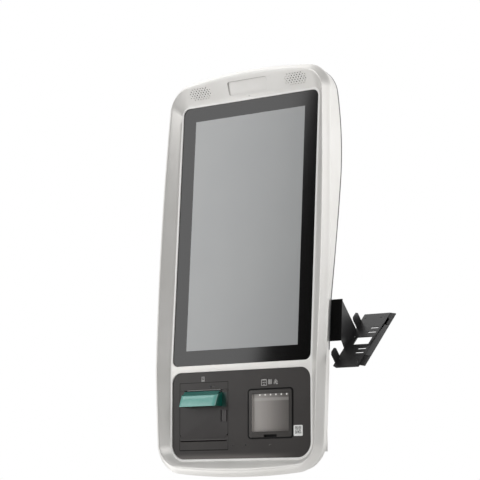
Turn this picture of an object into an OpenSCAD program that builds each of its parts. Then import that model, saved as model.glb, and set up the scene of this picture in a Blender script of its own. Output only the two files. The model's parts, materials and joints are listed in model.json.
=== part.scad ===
// Self-checkout machine for a wall, pole or counter arm.
// A bowed plastic frame holds an upright touch screen that leans back, over an upright
// dark panel with a receipt printer on its left and a code scanner on its right.
// A folded steel cradle for a payment terminal stands out behind the right side.
// Millimetres. X is right, Y is back, Z is up; the origin is the middle of the bolt
// pattern on the back plate. Sizes below are taken from the middle of the screen.

/* [Screen] */
// Width of the picture, a 21.5 inch display set upright
screen_w = 267.8; // [240:0.1:290]
// Height of the picture
screen_h = 476.1; // [440:0.1:500]
// Lean of the screen from upright
screen_tilt = 3.7; // [2:0.1:5]
// Printed border of the cover glass, at each side of the picture
glass_side = 31.6; // [26:0.1:36]
// Printed border above and below the picture
glass_end = 29.8; // [26:0.1:34]
// Thickness of the cover glass
glass_t = 3; // [2:0.1:4]
// Width of glass and panel edge that the frame lip covers
lip_cover = 2; // [1:0.1:3]

/* [Frame] */
// Width of the frame beside the glass at its widest place
frame_side = 41.5; // [39:0.5:46]
// Height of the frame over the glass
frame_head = 61.65; // [59:0.05:66]
// Height of the frame under the lower panel
frame_foot = 36; // [33:0.5:40]
// How far the sides bow out
side_bow = 12; // [8:0.5:14]
// How far the top bows up
top_bow = 18; // [12:0.5:20]
// How far the bottom bows down
bottom_bow = 14; // [8:0.5:18]
// Radius of the upper corners
corner_top = 50; // [44:1:56]
// Radius of the lower corners
corner_bottom = 54; // [46:1:60]
// Wall of the moulded frame
wall = 3; // [2.5:0.1:3.5]
// Height of the lip over the glass
lip_h = 2.2; // [1.5:0.1:3]
// Width of the lip
lip_w = 4; // [3:0.1:5]
// Height of the front rim over the glass
rim_h = 19.8; // [18:0.1:21]
// Width of the rim at the sides and below
rim_side = 12.25; // [11:0.05:14]
// Width of the rim at the top
rim_top = 9; // [8:0.5:12]
// How far the outer flank runs back from the crest of the rim
rim_deep = 13; // [10:0.5:14]

/* [Back] */
// How far the back of the lower half stands in front of the screen centre plane
back_low = 6; // [4:0.5:7]
// How far the side walls draw in towards the back
back_inset = 4; // [3:0.5:5]
// Height over the lower panel's top edge where the back starts to lean
bend_rise = 103; // [95:1:110]
// Lean of the back, as rise over run
back_lean = 0.176; // [0.165:0.001:0.185]
// Drop under the frame's top where the back starts to curve forward again
crown_drop = 249.5; // [239:0.5:259]
// How far the back curves forward by the frame's top
crown_fall = 52.9; // [50:0.1:55]
// Thickness of the back covers
cover_t = 3; // [2.5:0.1:3.5]
// Room between the printer and the wall of the rear housing
box_room = 2.55; // [2:0.05:4]
// Room under the printer in the rear housing
box_under = 5; // [4:0.5:8]
// Drop of the rear housing's top under the frame's top
box_drop = 139.5; // [130:0.5:150]
// Depth of the rear housing's back wall behind the screen centre
box_back = 64; // [62:0.5:68]
// Sheet of the rear housing
sheet = 1.5; // [1.2:0.1:2]
// Bolt spacing of the back plate, both ways
vesa_pitch = 100; // [75:25:100]
// Radius of the bolt holes in the back plate
vesa_hole_r = 2.25; // [2.1:0.05:2.6]
// Side of the square back plate
vesa_side = 130; // [120:1:140]
// Thickness of the back plate
vesa_t = 2; // [2:0.5:3]
// Height of the bolt pattern below the screen centre
vesa_drop = 80; // [70:1:90]

/* [Lower panel] */
// Height of the bar between the glass and the panel
divider_h = 13.15; // [12:0.05:15]
// Height of the panel
panel_h = 172; // [170:0.5:178]
// Thickness of the panel
panel_t = 3; // [2.5:0.1:3.5]
// Radius of the panel's lower corners
panel_corner = 30; // [24:1:34]

/* [Printer] */
// Panel left of the printer
printer_edge = 18.05; // [17:0.05:20]
// Width of the printer face
printer_w = 118.4; // [116:0.1:120]
// Drop of the printer face under the panel's top edge
printer_drop = 21; // [20:0.5:23]
// Height of the printer face
printer_h = 133; // [131:0.5:135]
// Depth of the paper bay behind the panel face
bay_depth = 72; // [66:1:76]
// Wall of the printer frame
bay_wall = 2; // [1.8:0.1:2.2]
// Height of the fixed strip over the paper slot
strip_h = 15; // [14:0.5:16]
// Height of the paper slot
slot_h = 4.5; // [4:0.1:5]
// Height of the hinge axis over the printer's lower edge
hinge_rise = 22; // [20:0.5:23]
// Radius of the door's hinge barrel
barrel_r = 5; // [4.5:0.1:5.5]
// Radius of the hinge pin
pin_r = 1.5; // [1.2:0.1:1.8]
// Thickness of the door
door_t = 3; // [2.6:0.1:3.2]
// Room beside the receipt paper for the gears and cheeks, both sides together
paper_room = 38.4; // [37:0.1:40]
// Radius of the platen roller
platen_r = 6; // [5.5:0.1:6.4]
// Radius of the platen shaft
shaft_r = 2; // [1.8:0.1:2.2]
// Module of the feed gears
gear_module = 0.8; // [0.78:0.01:0.82]
// Teeth of the platen gear
platen_teeth = 16; // [16:1:16]
// Teeth of the idler gear
idler_teeth = 14; // [14:1:14]
// Teeth of the motor pinion
pinion_teeth = 10; // [10:1:10]
// How much wider the paper mouth is than the paper
mouth_room = 12; // [10:0.5:14]
// How far the paper mouth stands out from the door
mouth_out = 22; // [18:0.5:24]
// How far the front of the mouth leans back at its top
mouth_lean = 9; // [7:0.5:10]
// Lower edge of the paper mouth under the printer's top edge
mouth_drop = 48; // [46:0.5:50]
// Wall of the paper mouth
mouth_wall = 3; // [2.4:0.1:3.2]
// Travel of the feed button
button_travel = 1.5; // [1:0.1:1.6]
// Radius of the feed button
button_r = 2.5; // [2.2:0.1:2.8]

/* [Scanner] */
// Panel right of the scanner
scanner_edge = 42.05; // [40:0.05:44]
// Width of the scanner face
scanner_w = 103.4; // [100:0.1:106]
// Drop of the scanner face under the panel's top edge
scanner_drop = 39; // [37:0.5:41]
// Height of the scanner face
scanner_h = 95; // [93:0.5:98]
// Border of the scanner face beside its window
scanner_side = 8.6; // [8:0.1:10]
// Border over the window
scanner_head = 9; // [8:0.1:10]
// Border under the window
scanner_foot = 12.6; // [11:0.1:13.5]
// Depth of the scanner behind the panel face
scanner_depth = 52; // [46:1:58]

/* [Terminal cradle] */
// Sheet of the cradle
cradle_t = 2; // [1.5:0.1:2.5]
// How far the cradle's bend stands out beside the frame
cradle_out = 17.4; // [15:0.1:20]
// Slope of the tray from level
tray_slope = 42.7; // [40:0.1:46]
// Length of the tray along its slope
tray_len = 163; // [158:1:170]
// Width of the tray
tray_w = 58; // [55:0.5:62]
// Width of the strip folded along the tray's right edge
strip_w = 11.5; // [10:0.5:14]
// Fold of that strip below the tray's plane
strip_drop = 13; // [8:1:30]
// Height of the two lugs
lug_h = 23; // [20:0.5:26]

/* [Hidden] */
$fn = 48;
// Running clearance of pins and shafts in their bores, on the radius
fit = 0.06;
// Clearance of moving pieces beside their neighbours
gap = 0.3;
// Clearance of fixed pieces dropped into cutouts
seat = 0.2;
// Overshoot of cutting tools
cut = 1;
// Seat of the frame's lip over the glass and panel
lip_seat = 0.1;
// Shut line between the frame and the back covers
shut = 0.5;
// Corner radius of the glass, and how much tighter the crest turns than the outline
glass_corner = 14;
glass_low_corner = 13;
panel_top_corner = 22;
crest_top = 12;
crest_low = 14;
glass_half = screen_w / 2 + glass_side;
glass_top = screen_h / 2 + glass_end;
half_w = glass_half + frame_side;
frame_top = glass_top + frame_head;
panel_top = glass_top + divider_h;
panel_bottom = panel_top + panel_h;
frame_bottom = panel_bottom + frame_foot;
bend_z = -(glass_top + panel_top) / 2;
panel_y = tan(screen_tilt) * bend_z;
back_bend = bend_rise - panel_top;
back_crown = frame_top - crown_drop;
box_top = frame_top - box_drop;
printer_x = glass_half - printer_edge - printer_w / 2;
scanner_x = glass_half - scanner_edge - scanner_w / 2;
paper_w = printer_w - paper_room;
mouth_w = paper_w + mouth_room;
screen_to_mount = box_back + vesa_t;
back_soft = 30;
corner_steps = 8;
side_steps = 20;
low_steps = 5;
end_steps = 6;
cover_split = bend_z + 24.4;
// Longer than the machine is deep, for cuts that go right through
deep = 100;
printer_top = panel_top + printer_drop;
printer_bottom = printer_top + printer_h;
printer_in = panel_y + bay_depth;
printer_half = printer_w / 2 - seat;
printer_low = -printer_bottom + seat;
bay_half = printer_half - bay_wall;
bay_top = -printer_top - seat - bay_wall;
box_half = printer_x + printer_w / 2 + box_room;
box_bottom = printer_bottom + box_under;
hinge_y = panel_y + barrel_r;
hinge_z = -printer_bottom + hinge_rise;
slot_top = -printer_top - strip_h;
door_top = slot_top - slot_h;
door_half = printer_w / 2 - seat - 0.25;
platen_y = panel_y + 12;
platen_z = door_top - 6.5;
mesh_slack = 0.12;
idler_y = platen_y + gear_module * (platen_teeth + idler_teeth) / 2 + mesh_slack;
pinion_y = idler_y + gear_module * (idler_teeth + pinion_teeth) / 2 + mesh_slack;
gear_x = -printer_x - paper_w / 2 - 12;
gear_w = 4;
stud_r = 1.5;
motor_shaft_r = 1;
motor_r = 8;
motor_len = 18;
cheek_x = paper_w / 2 + 4;
cheek_t = 2.5;
cheek_low = 6;
cheek_high = 5;
head_half = paper_w / 2 + 2;
head_y = platen_y + platen_r + 0.4;
head_t = 4;
latch_x = door_half - 15 - printer_x;
latch_y = panel_y + 3.2;
latch_top = -printer_top - 55.2;
latch_h = 22.6;
latch_reach = 11.3;
latch_slot = 2.4;
latch_pin_r = 0.8;
latch_barrel = 1.9;
latch_ear = 2.6;
button_x = 15.45 - printer_x;
led_x = 25.05 - printer_x;
button_z = -printer_top - 9;
button_flange = panel_y + door_t + gap + 1.3;
button_back = button_flange + 1;
led_r = 1.2;
board_front = panel_y + 8;
scanner_top = panel_top + scanner_drop;
scanner_bottom = scanner_top + scanner_h;
scanner_half = scanner_w / 2 - seat;
scanner_proud = 1;
scanner_seat = panel_y + 5;
window_t = 2;
lens_xs = [printer_w / 2 - printer_x + 11.55, scanner_x - scanner_w / 2 - 6.95];
lens_z = -panel_top - 146.2;
lens_r = 1.4;
label_x = scanner_x + scanner_w / 2 + 12.55;
label_z = -panel_top - 121;
label_side = 20.6;
cradle_x = half_w + cradle_out;
tray_y = panel_y - 13.5;
tray_z = -panel_top - 1.86;
tray_lead = 6;
arm_top = 127 - panel_top;
arm_low = 47 - panel_top;

// Depth of the glass and panel plane at height z: leaning above the bend, upright below it
function face_y(z) = tan(screen_tilt) * max(z, bend_z);

// A ramp that starts softly at zero
function ramp(d) = (d + sqrt(d * d + back_soft * back_soft)) / 2;

// Depth of the machine's back at height z
function back_y(z) = -back_low + back_lean * ramp(z - back_bend)
    - crown_fall * pow(max(0, z - back_crown) / crown_drop, 2);

function arc(cx, cz, r, start) = [for (i = [0 : corner_steps])
    [cx + r * cos(start + 90 * i / corner_steps), cz + r * sin(start + 90 * i / corner_steps)]];

function between(p, q, n) = [for (i = [1 : n]) p + (q - p) * i / (n + 1)];

// Points up a side from z0 to z1, one of them on the bend between glass and panel
function side(a, z0, z1) = concat(between([a, z0], [a, bend_z], low_steps), [[a, bend_z]],
    between([a, bend_z], [a, z1], side_steps));

function reversed(list) = [for (i = [len(list) - 1 : -1 : 0]) list[i]];

// Rounded rectangle as a ring of points, anticlockwise from the foot of its right side
function rounded(a, zt, zb, rt, rb) = concat(
    side(a, zb + rb, zt - rt), arc(a - rt, zt - rt, rt, 0),
    between([a - rt, zt], [rt - a, zt], end_steps), arc(rt - a, zt - rt, rt, 90),
    reversed(side(-a, zb + rb, zt - rt)), arc(rb - a, zb + rb, rb, 180),
    between([rb - a, zb], [a - rb, zb], end_steps), arc(a - rb, zb + rb, rb, 270));

// Pull the ends of the sides and the corners of the ends inwards
function bowed(ring, a, zt, zb) = let (mid = (zt + zb) / 2, h = (zt - zb) / 2)
    [for (p = ring) let (w = (p[1] - mid) / h, b = w > 0 ? top_bow : bottom_bow)
        [p[0] * (1 - side_bow * w * w / a), p[1] - w * b * pow(p[0] / a, 2)]];

// Outline of the frame, drawn in by d
function outer(d) = let (a = half_w - d, zt = frame_top - d, zb = d - frame_bottom)
    bowed(rounded(a, zt, zb, corner_top - d, corner_bottom - d), a, zt, zb);

// Inner edge of the front rim, widened by d
function crest(d) = let (a = half_w - rim_side + d, zt = frame_top - rim_top + d)
    let (zb = rim_side - frame_bottom - d)
    bowed(rounded(a, zt, zb, corner_top - crest_top + d, corner_bottom - crest_low + d), a, zt, zb);

// Opening that shows the glass and the panel, widened by d
function opening(d) = rounded(glass_half + d, glass_top + d, -panel_bottom - d, glass_corner + d,
    panel_corner + d);

// Ring part of the way from p to q
function mixed(p, q, t) = [for (i = [0 : len(p) - 1]) p[i] * (1 - t) + q[i] * t];

function on_front(ring, f) = [for (p = ring) [p[0], face_y(p[1]) - f, p[1]]];

function on_back(ring, d) = [for (p = ring) [p[0], back_y(p[1]) - d, p[1]]];

// Outer flank of the rim, t of the way out from the crest to the side wall and u of the way back
function flank(t, u) = on_front(mixed(crest(0), outer(0), t), rim_h - rim_deep * u);

// Closed shell through a list of rings, the last joined to the first
module ring_shell(rings) {
    n = len(rings[0]);
    m = len(rings);
    points = [for (r = rings) for (p = r) p];
    faces = [for (j = [0 : m - 1]) for (i = [0 : n - 1])
        let (a = j * n + i, b = j * n + (i + 1) % n)
        let (c = ((j + 1) % m) * n + (i + 1) % n, d = ((j + 1) % m) * n + i)
        each [[a, b, c], [a, c, d]]];
    polyhedron(points, faces);
}

// Everything is drawn from the screen centre and set behind the mount by this one shift
module placed() {
    translate([0, -screen_to_mount, vesa_drop]) children();
}

// Lean with the screen
module leaning() {
    rotate([-screen_tilt, 0, 0]) children();
}

// Box between two corners
module span_box(p, q) {
    translate(p) cube(q - p);
}

// Prism along X between x0 and x1 over a list of [y, z] points
module prism_x(points, x0, x1) {
    translate([x0, 0, 0]) rotate([90, 0, 90]) linear_extrude(x1 - x0) polygon(points);
}

// Prism along Y between y0 and y1 over a list of [x, z] points
module prism_y(points, y0, y1) {
    translate([0, y1, 0]) rotate([90, 0, 0]) linear_extrude(y1 - y0) polygon(points);
}

module rod_x(r, x0, x1) {
    translate([x0, 0, 0]) rotate([0, 90, 0]) cylinder(r = r, h = x1 - x0);
}

module rod_y(r, y0, y1) {
    translate([0, y1, 0]) rotate([90, 0, 0]) cylinder(r = r, h = y1 - y0);
}

// Upright plate in X and Z with round corners, from y0 back to y1
module round_plate(x0, x1, z0, z1, r, y0, y1) {
    span_box([x0 + r, y0, z0], [x1 - r, y1, z1]);
    span_box([x0, y0, z0 + r], [x1, y1, z1 - r]);
    for (x = [x0 + r, x1 - r], z = [z0 + r, z1 - r]) translate([x, 0, z]) rod_y(r, y0, y1);
}

// Copies at a list of [x, z] places
module at(places) {
    for (p = places) translate([p[0], 0, p[1]]) children();
}

// The same piece on the right and, mirrored, on the left
module both_sides() {
    children();
    mirror([1, 0, 0]) children();
}

// Places of the screws that hold the covers, as [x, z]
boss_drops = [109.5, 289.5];
boss_rises = [141, -49, -144];
boss_zs = concat([for (d = boss_drops) frame_top - d], [for (r = boss_rises) r - panel_top]);
boss_in = 11;
boss_mid = (frame_top - frame_bottom) / 2;
boss_half = (frame_top + frame_bottom) / 2;
bosses = [for (s = [-1, 1]) for (z = boss_zs) let (w = (z - boss_mid) / boss_half)
    [s * (half_w - side_bow * w * w - boss_in), z]];
boss_r = 4;
boss_room = 1.1;
boss_bore = 1.6;
boss_deep = 12;

// Screws: shank, head, and the clearance of hole and counterbore
shank_r = 1.5;
screw_head_r = 3.2;
screw_head_h = 2;
hole_r = 2;
counterbore_r = 3.8;

// Top slope of the frame: grilles and the camera blank lie on it
slope_rise = (rim_h - lip_h) / (frame_head - rim_top - lip_w - 2);
top_angle = atan(slope_rise);
slope_z = glass_top + 26.15;
slope_half = 13;
slope_cut = 9;
grille_x = glass_half - 48.5;
grille_w = 53;
grille_corner = 6;
grille_t = 4;
grille_sunk = 0.3;
blank_w = 96;
blank_half = 14.5;
blank_corner = 5;
blank_sunk = 2;
blank_t = 3;
pinhole_z = glass_top + lip_w + 2.5;
pinhole_r = 1.2;
slope_room = 0.9;
flank_out = 0.8;
flank_back = 0.74;

// Stand on the top slope at x, z up the slope and y into the machine
module on_slope(x) {
    f = lip_h + slope_rise * (slope_z - glass_top - lip_w);
    translate([x, face_y(slope_z) - f, slope_z]) rotate([top_angle - screen_tilt, 0, 0]) children();
}

module front_frame() {
    color("whitesmoke") placed() difference() {
        union() {
            ring_shell([on_front(opening(0), lip_seat), on_front(opening(0), lip_h),
                on_front(opening(lip_w), lip_h), flank(0, 0), flank(flank_out, flank_back),
                flank(1, 1),
                on_back(outer(back_inset), cover_t + shut),
                on_back(outer(back_inset + wall), cover_t + shut),
                on_front(outer(wall), rim_h - rim_deep),
                on_front(mixed(crest(0), outer(0), 1 / 2), rim_h - rim_deep / 2 - 1.5 * wall),
                on_front(crest(0), rim_h - wall - slope_room),
                on_front(opening(lip_w + wall), lip_seat)]);
            divider_bar();
            for (b = bosses) translate([b[0], 0, b[1]])
                rod_y(boss_r, face_y(b[1]) - rim_h + wall + slope_room, back_y(b[1]) - cover_t - boss_room);
        }
        for (b = bosses) translate([b[0], back_y(b[1]) - cover_t, b[1]]) rod_y(boss_bore, -boss_deep, cut);
        both_sides() on_slope(grille_x)
            round_plate(-grille_w / 2, grille_w / 2, -slope_half, slope_half, grille_corner,
                -slope_cut, slope_cut);
        on_slope(0)
            round_plate(-blank_w / 2, blank_w / 2, -blank_half, blank_half, blank_corner,
                -slope_cut, slope_cut);
        translate([0, face_y(glass_top), pinhole_z]) rod_y(pinhole_r, -slope_cut, slope_cut);
    }
}

// Bar across the opening between the glass and the lower panel, with filled corners
module divider_bar() {
    points = [for (z = [-glass_top, bend_z, -panel_top]) [face_y(z) - lip_h, z]];
    back = [for (z = [-panel_top, bend_z, -glass_top]) [face_y(z) - lip_seat, z]];
    prism_x(concat(points, back), -glass_half - lip_w, glass_half + lip_w);
    both_sides() translate([glass_half, panel_y, -panel_top]) corner_fill(panel_top_corner);
    both_sides() leaning() translate([glass_half, 0, -glass_top]) mirror([0, 0, 1])
        corner_fill(glass_low_corner);
}

// What is left of a corner of the lip outside a quarter circle
module corner_fill(r) {
    difference() {
        span_box([-r, -lip_h, -r], [lip_w, -lip_seat, lip_w]);
        translate([-r, 0, -r]) rod_y(r, -lip_h - cut, cut);
        span_box([-r - cut, -lip_h - cut, -r - cut], [-r, cut, lip_w + cut]);
    }
}

module speaker_grille(side) {
    cols = 12;
    rows = 5;
    pitch = 4.1;
    dot_r = 1.1;
    w = grille_w / 2 - seat;
    h = slope_half - seat;
    placed() on_slope(side * grille_x) difference() {
        round_plate(-w, w, -h, h, grille_corner, grille_sunk, grille_sunk + grille_t);
        for (i = [0 : cols - 1], j = [0 : rows - 1])
            translate([(i - (cols - 1) / 2) * pitch, 0, (j - (rows - 1) / 2) * pitch])
                rod_y(dot_r, -cut, grille_t + 2 * cut);
    }
}

module speaker_grille_left() {
    color("gainsboro") speaker_grille(-1);
}

module speaker_grille_right() {
    color("gainsboro") speaker_grille(1);
}

// Plate in the camera place, set back from the slope
module camera_blank() {
    w = blank_w / 2 - seat;
    h = blank_half - seat;
    color("gainsboro") placed() on_slope(0)
        round_plate(-w, w, -h, h, blank_corner, blank_sunk, blank_sunk + blank_t);
}

// Small loudspeaker: a basket against the grille, a cone boss in it and a magnet behind it
module speaker(side) {
    half = 24;
    h = 11;
    rim = 2.5;
    front = grille_sunk + grille_t;
    basket = front + 5.7;
    placed() on_slope(side * grille_x) union() {
        difference() {
            round_plate(-half, half, -h, h, 5, front, basket);
            round_plate(rim - half, half - rim, rim - h, h - rim, 4, front - cut, basket - 1.5);
        }
        rod_y(8, basket, basket + 7);
        rod_y(3, basket - 4, basket - cut);
    }
}

module speaker_left() {
    color("dimgray") speaker(-1);
}

module speaker_right() {
    color("dimgray") speaker(1);
}

// Capsule behind the pinhole under the camera blank
module microphone() {
    color("silver") placed() translate([0, face_y(glass_top), pinhole_z]) rod_y(3, seat + 0.5, seat + 4);
}

module touch_glass() {
    w = glass_half + lip_cover;
    h = glass_top + lip_cover;
    color("black") placed() leaning() round_plate(-w, w, -h, h, glass_corner + lip_cover, 0, glass_t);
}

lcd_t = 11;
lcd_edge = 8;
chassis_t = 1.6;
chassis_y = glass_t + lcd_t;
rail_x = screen_w / 2 + lcd_edge + 1;

module lcd_panel() {
    w = screen_w / 2 + lcd_edge;
    h = screen_h / 2 + lcd_edge;
    color("dimgray") placed() leaning() span_box([-w, glass_t, -h], [w, chassis_y, h]);
}

// Mainboard's place and its four posts
board_x = -20;
board_z = 60;
board_w = 170;
board_h = 150;
board_t = 1.6;
post_in = 6;
post_r = 3;
post_bore = 1.2;
board_y = chassis_y + chassis_t + 6;
chip_half = 20;
chip_t = 2.4;
posts = [for (x = [-1, 1]) for (z = [-1, 1])
    [board_x + x * (board_w / 2 - post_in), board_z + z * (board_h / 2 - post_in)]];

// Steel tray behind the display: side rails turned forward to the glass, and board posts
module display_chassis() {
    w = rail_x + chassis_t;
    h = screen_h / 2;
    back = chassis_y + chassis_t;
    color("silver") placed() leaning() difference() {
        union() {
            span_box([-w, chassis_y, -h - lcd_edge], [w, back, h + lcd_edge]);
            at(posts) rod_y(post_r, chassis_y, board_y);
            both_sides() span_box([rail_x, glass_t, -h], [w, back, h]);
            both_sides() span_box([rail_x, glass_t, -h], [glass_half, glass_t + chassis_t, h]);
        }
        at(posts) rod_y(post_bore, chassis_y - cut, board_y + cut);
    }
}

module mainboard() {
    slots = 4;
    slot_pitch = 14;
    front = board_y + board_t;
    color("darkgreen") placed() leaning() difference() {
        union() {
            translate([board_x - board_w / 2, board_y, board_z - board_h / 2])
                cube([board_w, board_t, board_h]);
            translate([board_x - chip_half, front, board_z - chip_half])
                cube([2 * chip_half, chip_t, 2 * chip_half]);
            for (i = [0 : slots - 1]) translate([board_x - 70 + slot_pitch * i, front, board_z - 62])
                cube([10, 5.4, 12]);
        }
        at(posts) rod_y(boss_bore, board_y - cut, front + cut);
    }
}

module heat_sink() {
    fins = 9;
    fin_t = 1.6;
    fin_h = 12;
    base_t = 3;
    half = 26;
    pitch = (2 * half - fin_t) / (fins - 1);
    foot_y = board_y + board_t + chip_t;
    color("lightsteelblue") placed() leaning() translate([board_x, foot_y, board_z]) union() {
        span_box([-half, 0, -half], [half, base_t, half]);
        for (i = [0 : fins - 1]) translate([i * pitch - half, base_t, -half]) cube([fin_t, fin_h, 2 * half]);
    }
}

supply_w = 120;
supply_t = 30;
supply_h = 90;
supply_z = 91 - panel_top;

module power_supply() {
    color("silver") placed() leaning() translate([-supply_w / 2, chassis_y + chassis_t, supply_z])
        cube([supply_w, supply_t, supply_h]);
}

module lower_panel() {
    w = glass_half + lip_cover;
    zb = -panel_bottom - lip_cover;
    zt = -panel_top + lip_cover;
    r = panel_corner + lip_cover;
    front = panel_y - cut;
    back = panel_y + panel_t + cut;
    color("darkslategray") placed() difference() {
        union() {
            span_box([-w, panel_y, zb + r], [w, panel_y + panel_t, zt]);
            span_box([r - w, panel_y, zb], [w - r, panel_y + panel_t, zb + r + seat]);
            both_sides() translate([w - r, 0, zb + r]) rod_y(r, panel_y, panel_y + panel_t);
        }
        translate([-printer_x, 0, 0])
            span_box([-printer_w / 2, front, -printer_bottom], [printer_w / 2, back, -printer_top]);
        round_plate(scanner_x - scanner_w / 2, scanner_x + scanner_w / 2, -scanner_bottom, -scanner_top,
            scanner_corner, front, back);
        for (x = lens_xs) translate([x, 0, lens_z]) rod_y(lens_r, front, back);
    }
}

// Two pinhead lamps with a shoulder behind the panel
module indicator_lenses() {
    color("ivory") placed() for (x = lens_xs) translate([x, panel_y, lens_z]) union() {
        rod_y(lens_r - 0.05, -0.2, panel_t + cut);
        rod_y(lens_r + 1, panel_t, panel_t + 1.5);
    }
}

module code_label() {
    h = label_side / 2;
    color("white") placed() translate([label_x, panel_y, label_z]) round_plate(-h, h, -h, h, 2, -0.3, 0);
}

// Printer frame: open tub behind the panel with a fixed strip over the slot and one under the door
module printer_frame() {
    w = printer_half;
    top = -printer_top - seat;
    tub_y = panel_y + door_t + gap;
    strip_back = tub_y + cut;
    rim = 4;
    rim_y = panel_y + panel_t;
    rim_t = 2;
    color("dimgray") placed() translate([-printer_x, 0, 0]) difference() {
        union() {
            difference() {
                span_box([-w, tub_y, printer_low], [w, printer_in, top]);
                span_box([-bay_half, tub_y - cut, printer_low + bay_wall],
                    [bay_half, printer_in - bay_wall, bay_top]);
            }
            span_box([-w, panel_y, slot_top], [w, strip_back, top]);
            span_box([-w, panel_y, printer_low], [w, strip_back, hinge_z - barrel_r - 2 * gap]);
            both_sides()
                span_box([bay_half, panel_y, printer_low], [w, hinge_y + 4, hinge_z + barrel_r + gap]);
            difference() {
                span_box([-w - rim, rim_y, printer_low - rim], [w + rim, rim_y + rim_t, top + rim]);
                span_box([cut - w, rim_y - cut, printer_low + cut],
                    [w - cut, rim_y + rim_t + cut, top - cut]);
            }
        }
        translate([0, hinge_y, hinge_z]) rod_x(pin_r, -w - cut, w + cut);
        translate([printer_x + button_x, 0, button_z]) rod_y(button_r + gap, panel_y - cut, strip_back + cut);
        translate([printer_x + led_x, 0, button_z]) rod_y(led_r + 0.1, panel_y - cut, strip_back + cut);
    }
}

// Door: a flat plate with a hinge barrel, two cheeks for the platen and a window for the latch
module printer_door() {
    in_w = bay_half - gap;
    notch = barrel_r + 3;
    cheek_y = platen_y + 5;
    color("slategray") placed() difference() {
        translate([-printer_x, 0, 0]) union() {
            span_box([-door_half, panel_y, hinge_z + notch], [door_half, panel_y + door_t, door_top]);
            span_box([-in_w, panel_y, hinge_z], [in_w, panel_y + door_t, hinge_z + notch + cut]);
            translate([0, hinge_y, hinge_z]) rod_x(barrel_r, -in_w, in_w);
            both_sides() span_box([cheek_x, panel_y + cut, platen_z - cheek_low],
                [cheek_x + cheek_t, cheek_y, platen_z + cheek_high]);
            for (z = [latch_top, latch_top - latch_h - latch_ear]) translate([printer_x + latch_x, 0, z])
                span_box([-latch_ear, panel_y + cut, 0], [latch_ear, latch_y + 2.4, latch_ear]);
        }
        translate([-printer_x, hinge_y, hinge_z]) rod_x(pin_r + fit, -printer_w, printer_w);
        translate([-printer_x, platen_y, platen_z]) rod_x(shaft_r + fit, -printer_w, printer_w);
        span_box([latch_x - latch_barrel - gap, panel_y - cut, latch_top - latch_h],
            [latch_x + latch_reach + latch_slot, panel_y + door_t + cut, latch_top]);
        translate([latch_x, latch_y, latch_top - latch_h - latch_ear - cut])
            cylinder(r = latch_pin_r, h = latch_h + 2 * latch_ear + 2 * cut);
    }
}

module door_pin() {
    color("silver") placed() translate([-printer_x, hinge_y, hinge_z])
        rod_x(pin_r, -printer_half, printer_half);
}

// Clear hood over the slot: open at its top, so that the receipt stands up in it
module paper_mouth() {
    low = -printer_top - mouth_drop;
    front = panel_y - mouth_out;
    tip = door_top - 6.5;
    edge = 1;
    w = mouth_w / 2;
    side = [[panel_y, low], [panel_y, door_top], [front + mouth_lean, tip], [front, low + edge],
        [front + edge, low]];
    back = panel_y + cut;
    lip = front + mouth_lean + mouth_wall;
    inner = [[back, low + mouth_wall], [back, door_top + cut], [lip, door_top + cut], [lip, tip],
        [front + mouth_wall, low + mouth_wall]];
    color("mediumaquamarine") placed() translate([-printer_x, 0, 0]) difference() {
        prism_x(side, -w, w);
        prism_x(inner, mouth_wall - w, w - mouth_wall);
    }
}

// Pull lever in the door's right edge; its tail pushes the platen out of its seat
module door_latch() {
    h = latch_h - 2 * gap;
    tail = 6;
    color("gray") placed() translate([latch_x, latch_y, latch_top - latch_h + gap]) difference() {
        union() {
            cylinder(r = latch_barrel, h = h);
            span_box([0, -3, 0], [latch_reach, -0.6, h]);
            span_box([-0.9, 0, (h - tail) / 2], [0.9, 6.5, (h + tail) / 2]);
        }
        translate([0, 0, -cut]) cylinder(r = latch_pin_r + fit, h = latch_h + 2 * cut);
    }
}

module latch_pin() {
    color("silver") placed() translate([latch_x, latch_y, latch_top - latch_h - latch_ear])
        cylinder(r = latch_pin_r, h = latch_h + 2 * latch_ear);
}

module platen_roller() {
    w = paper_w / 2 + 1;
    color("black") placed() translate([-printer_x, platen_y, platen_z]) difference() {
        rod_x(platen_r, -w, w);
        rod_x(shaft_r, -w - cut, w + cut);
    }
}

module platen_shaft() {
    color("silver") placed() translate([0, platen_y, platen_z])
        rod_x(shaft_r, gear_x - gear_w / 2, cheek_x + cheek_t + 2 - printer_x);
}

// Spur gear along X, teeth as slim trapezoids so that they run free; phase turns it in teeth
module spur(teeth, bore, phase) {
    r = gear_module * teeth / 2;
    root = r - 0.95 * gear_module;
    foot = root * 0.9;
    tip = r + 0.75 * gear_module;
    flank = [[foot, 0.55], [r, 0.5], [tip, 0.24]];
    right = [for (q = flank) [q[0], -q[1] * gear_module]];
    left = [for (i = [2, 1, 0]) [flank[i][0], flank[i][1] * gear_module]];
    rotate([90, 0, 90]) linear_extrude(gear_w, center = true) difference() {
        union() {
            circle(r = root);
            for (i = [0 : teeth - 1]) rotate((i + phase) * 360 / teeth) polygon(concat(right, left));
        }
        circle(r = bore);
    }
}

module platen_gear() {
    color("ivory") placed() translate([gear_x, platen_y, platen_z]) spur(platen_teeth, shaft_r, 0);
}

module idler_gear() {
    color("ivory") placed() translate([gear_x, idler_y, platen_z]) spur(idler_teeth, stud_r + fit, 0.5);
}

module idler_stud() {
    color("silver") placed() translate([0, idler_y, platen_z])
        rod_x(stud_r, -printer_x - bay_half, gear_x + gear_w / 2 + 0.6);
}

module motor_pinion() {
    color("ivory") placed() translate([gear_x, pinion_y, platen_z]) spur(pinion_teeth, motor_shaft_r, 0);
}

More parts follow.
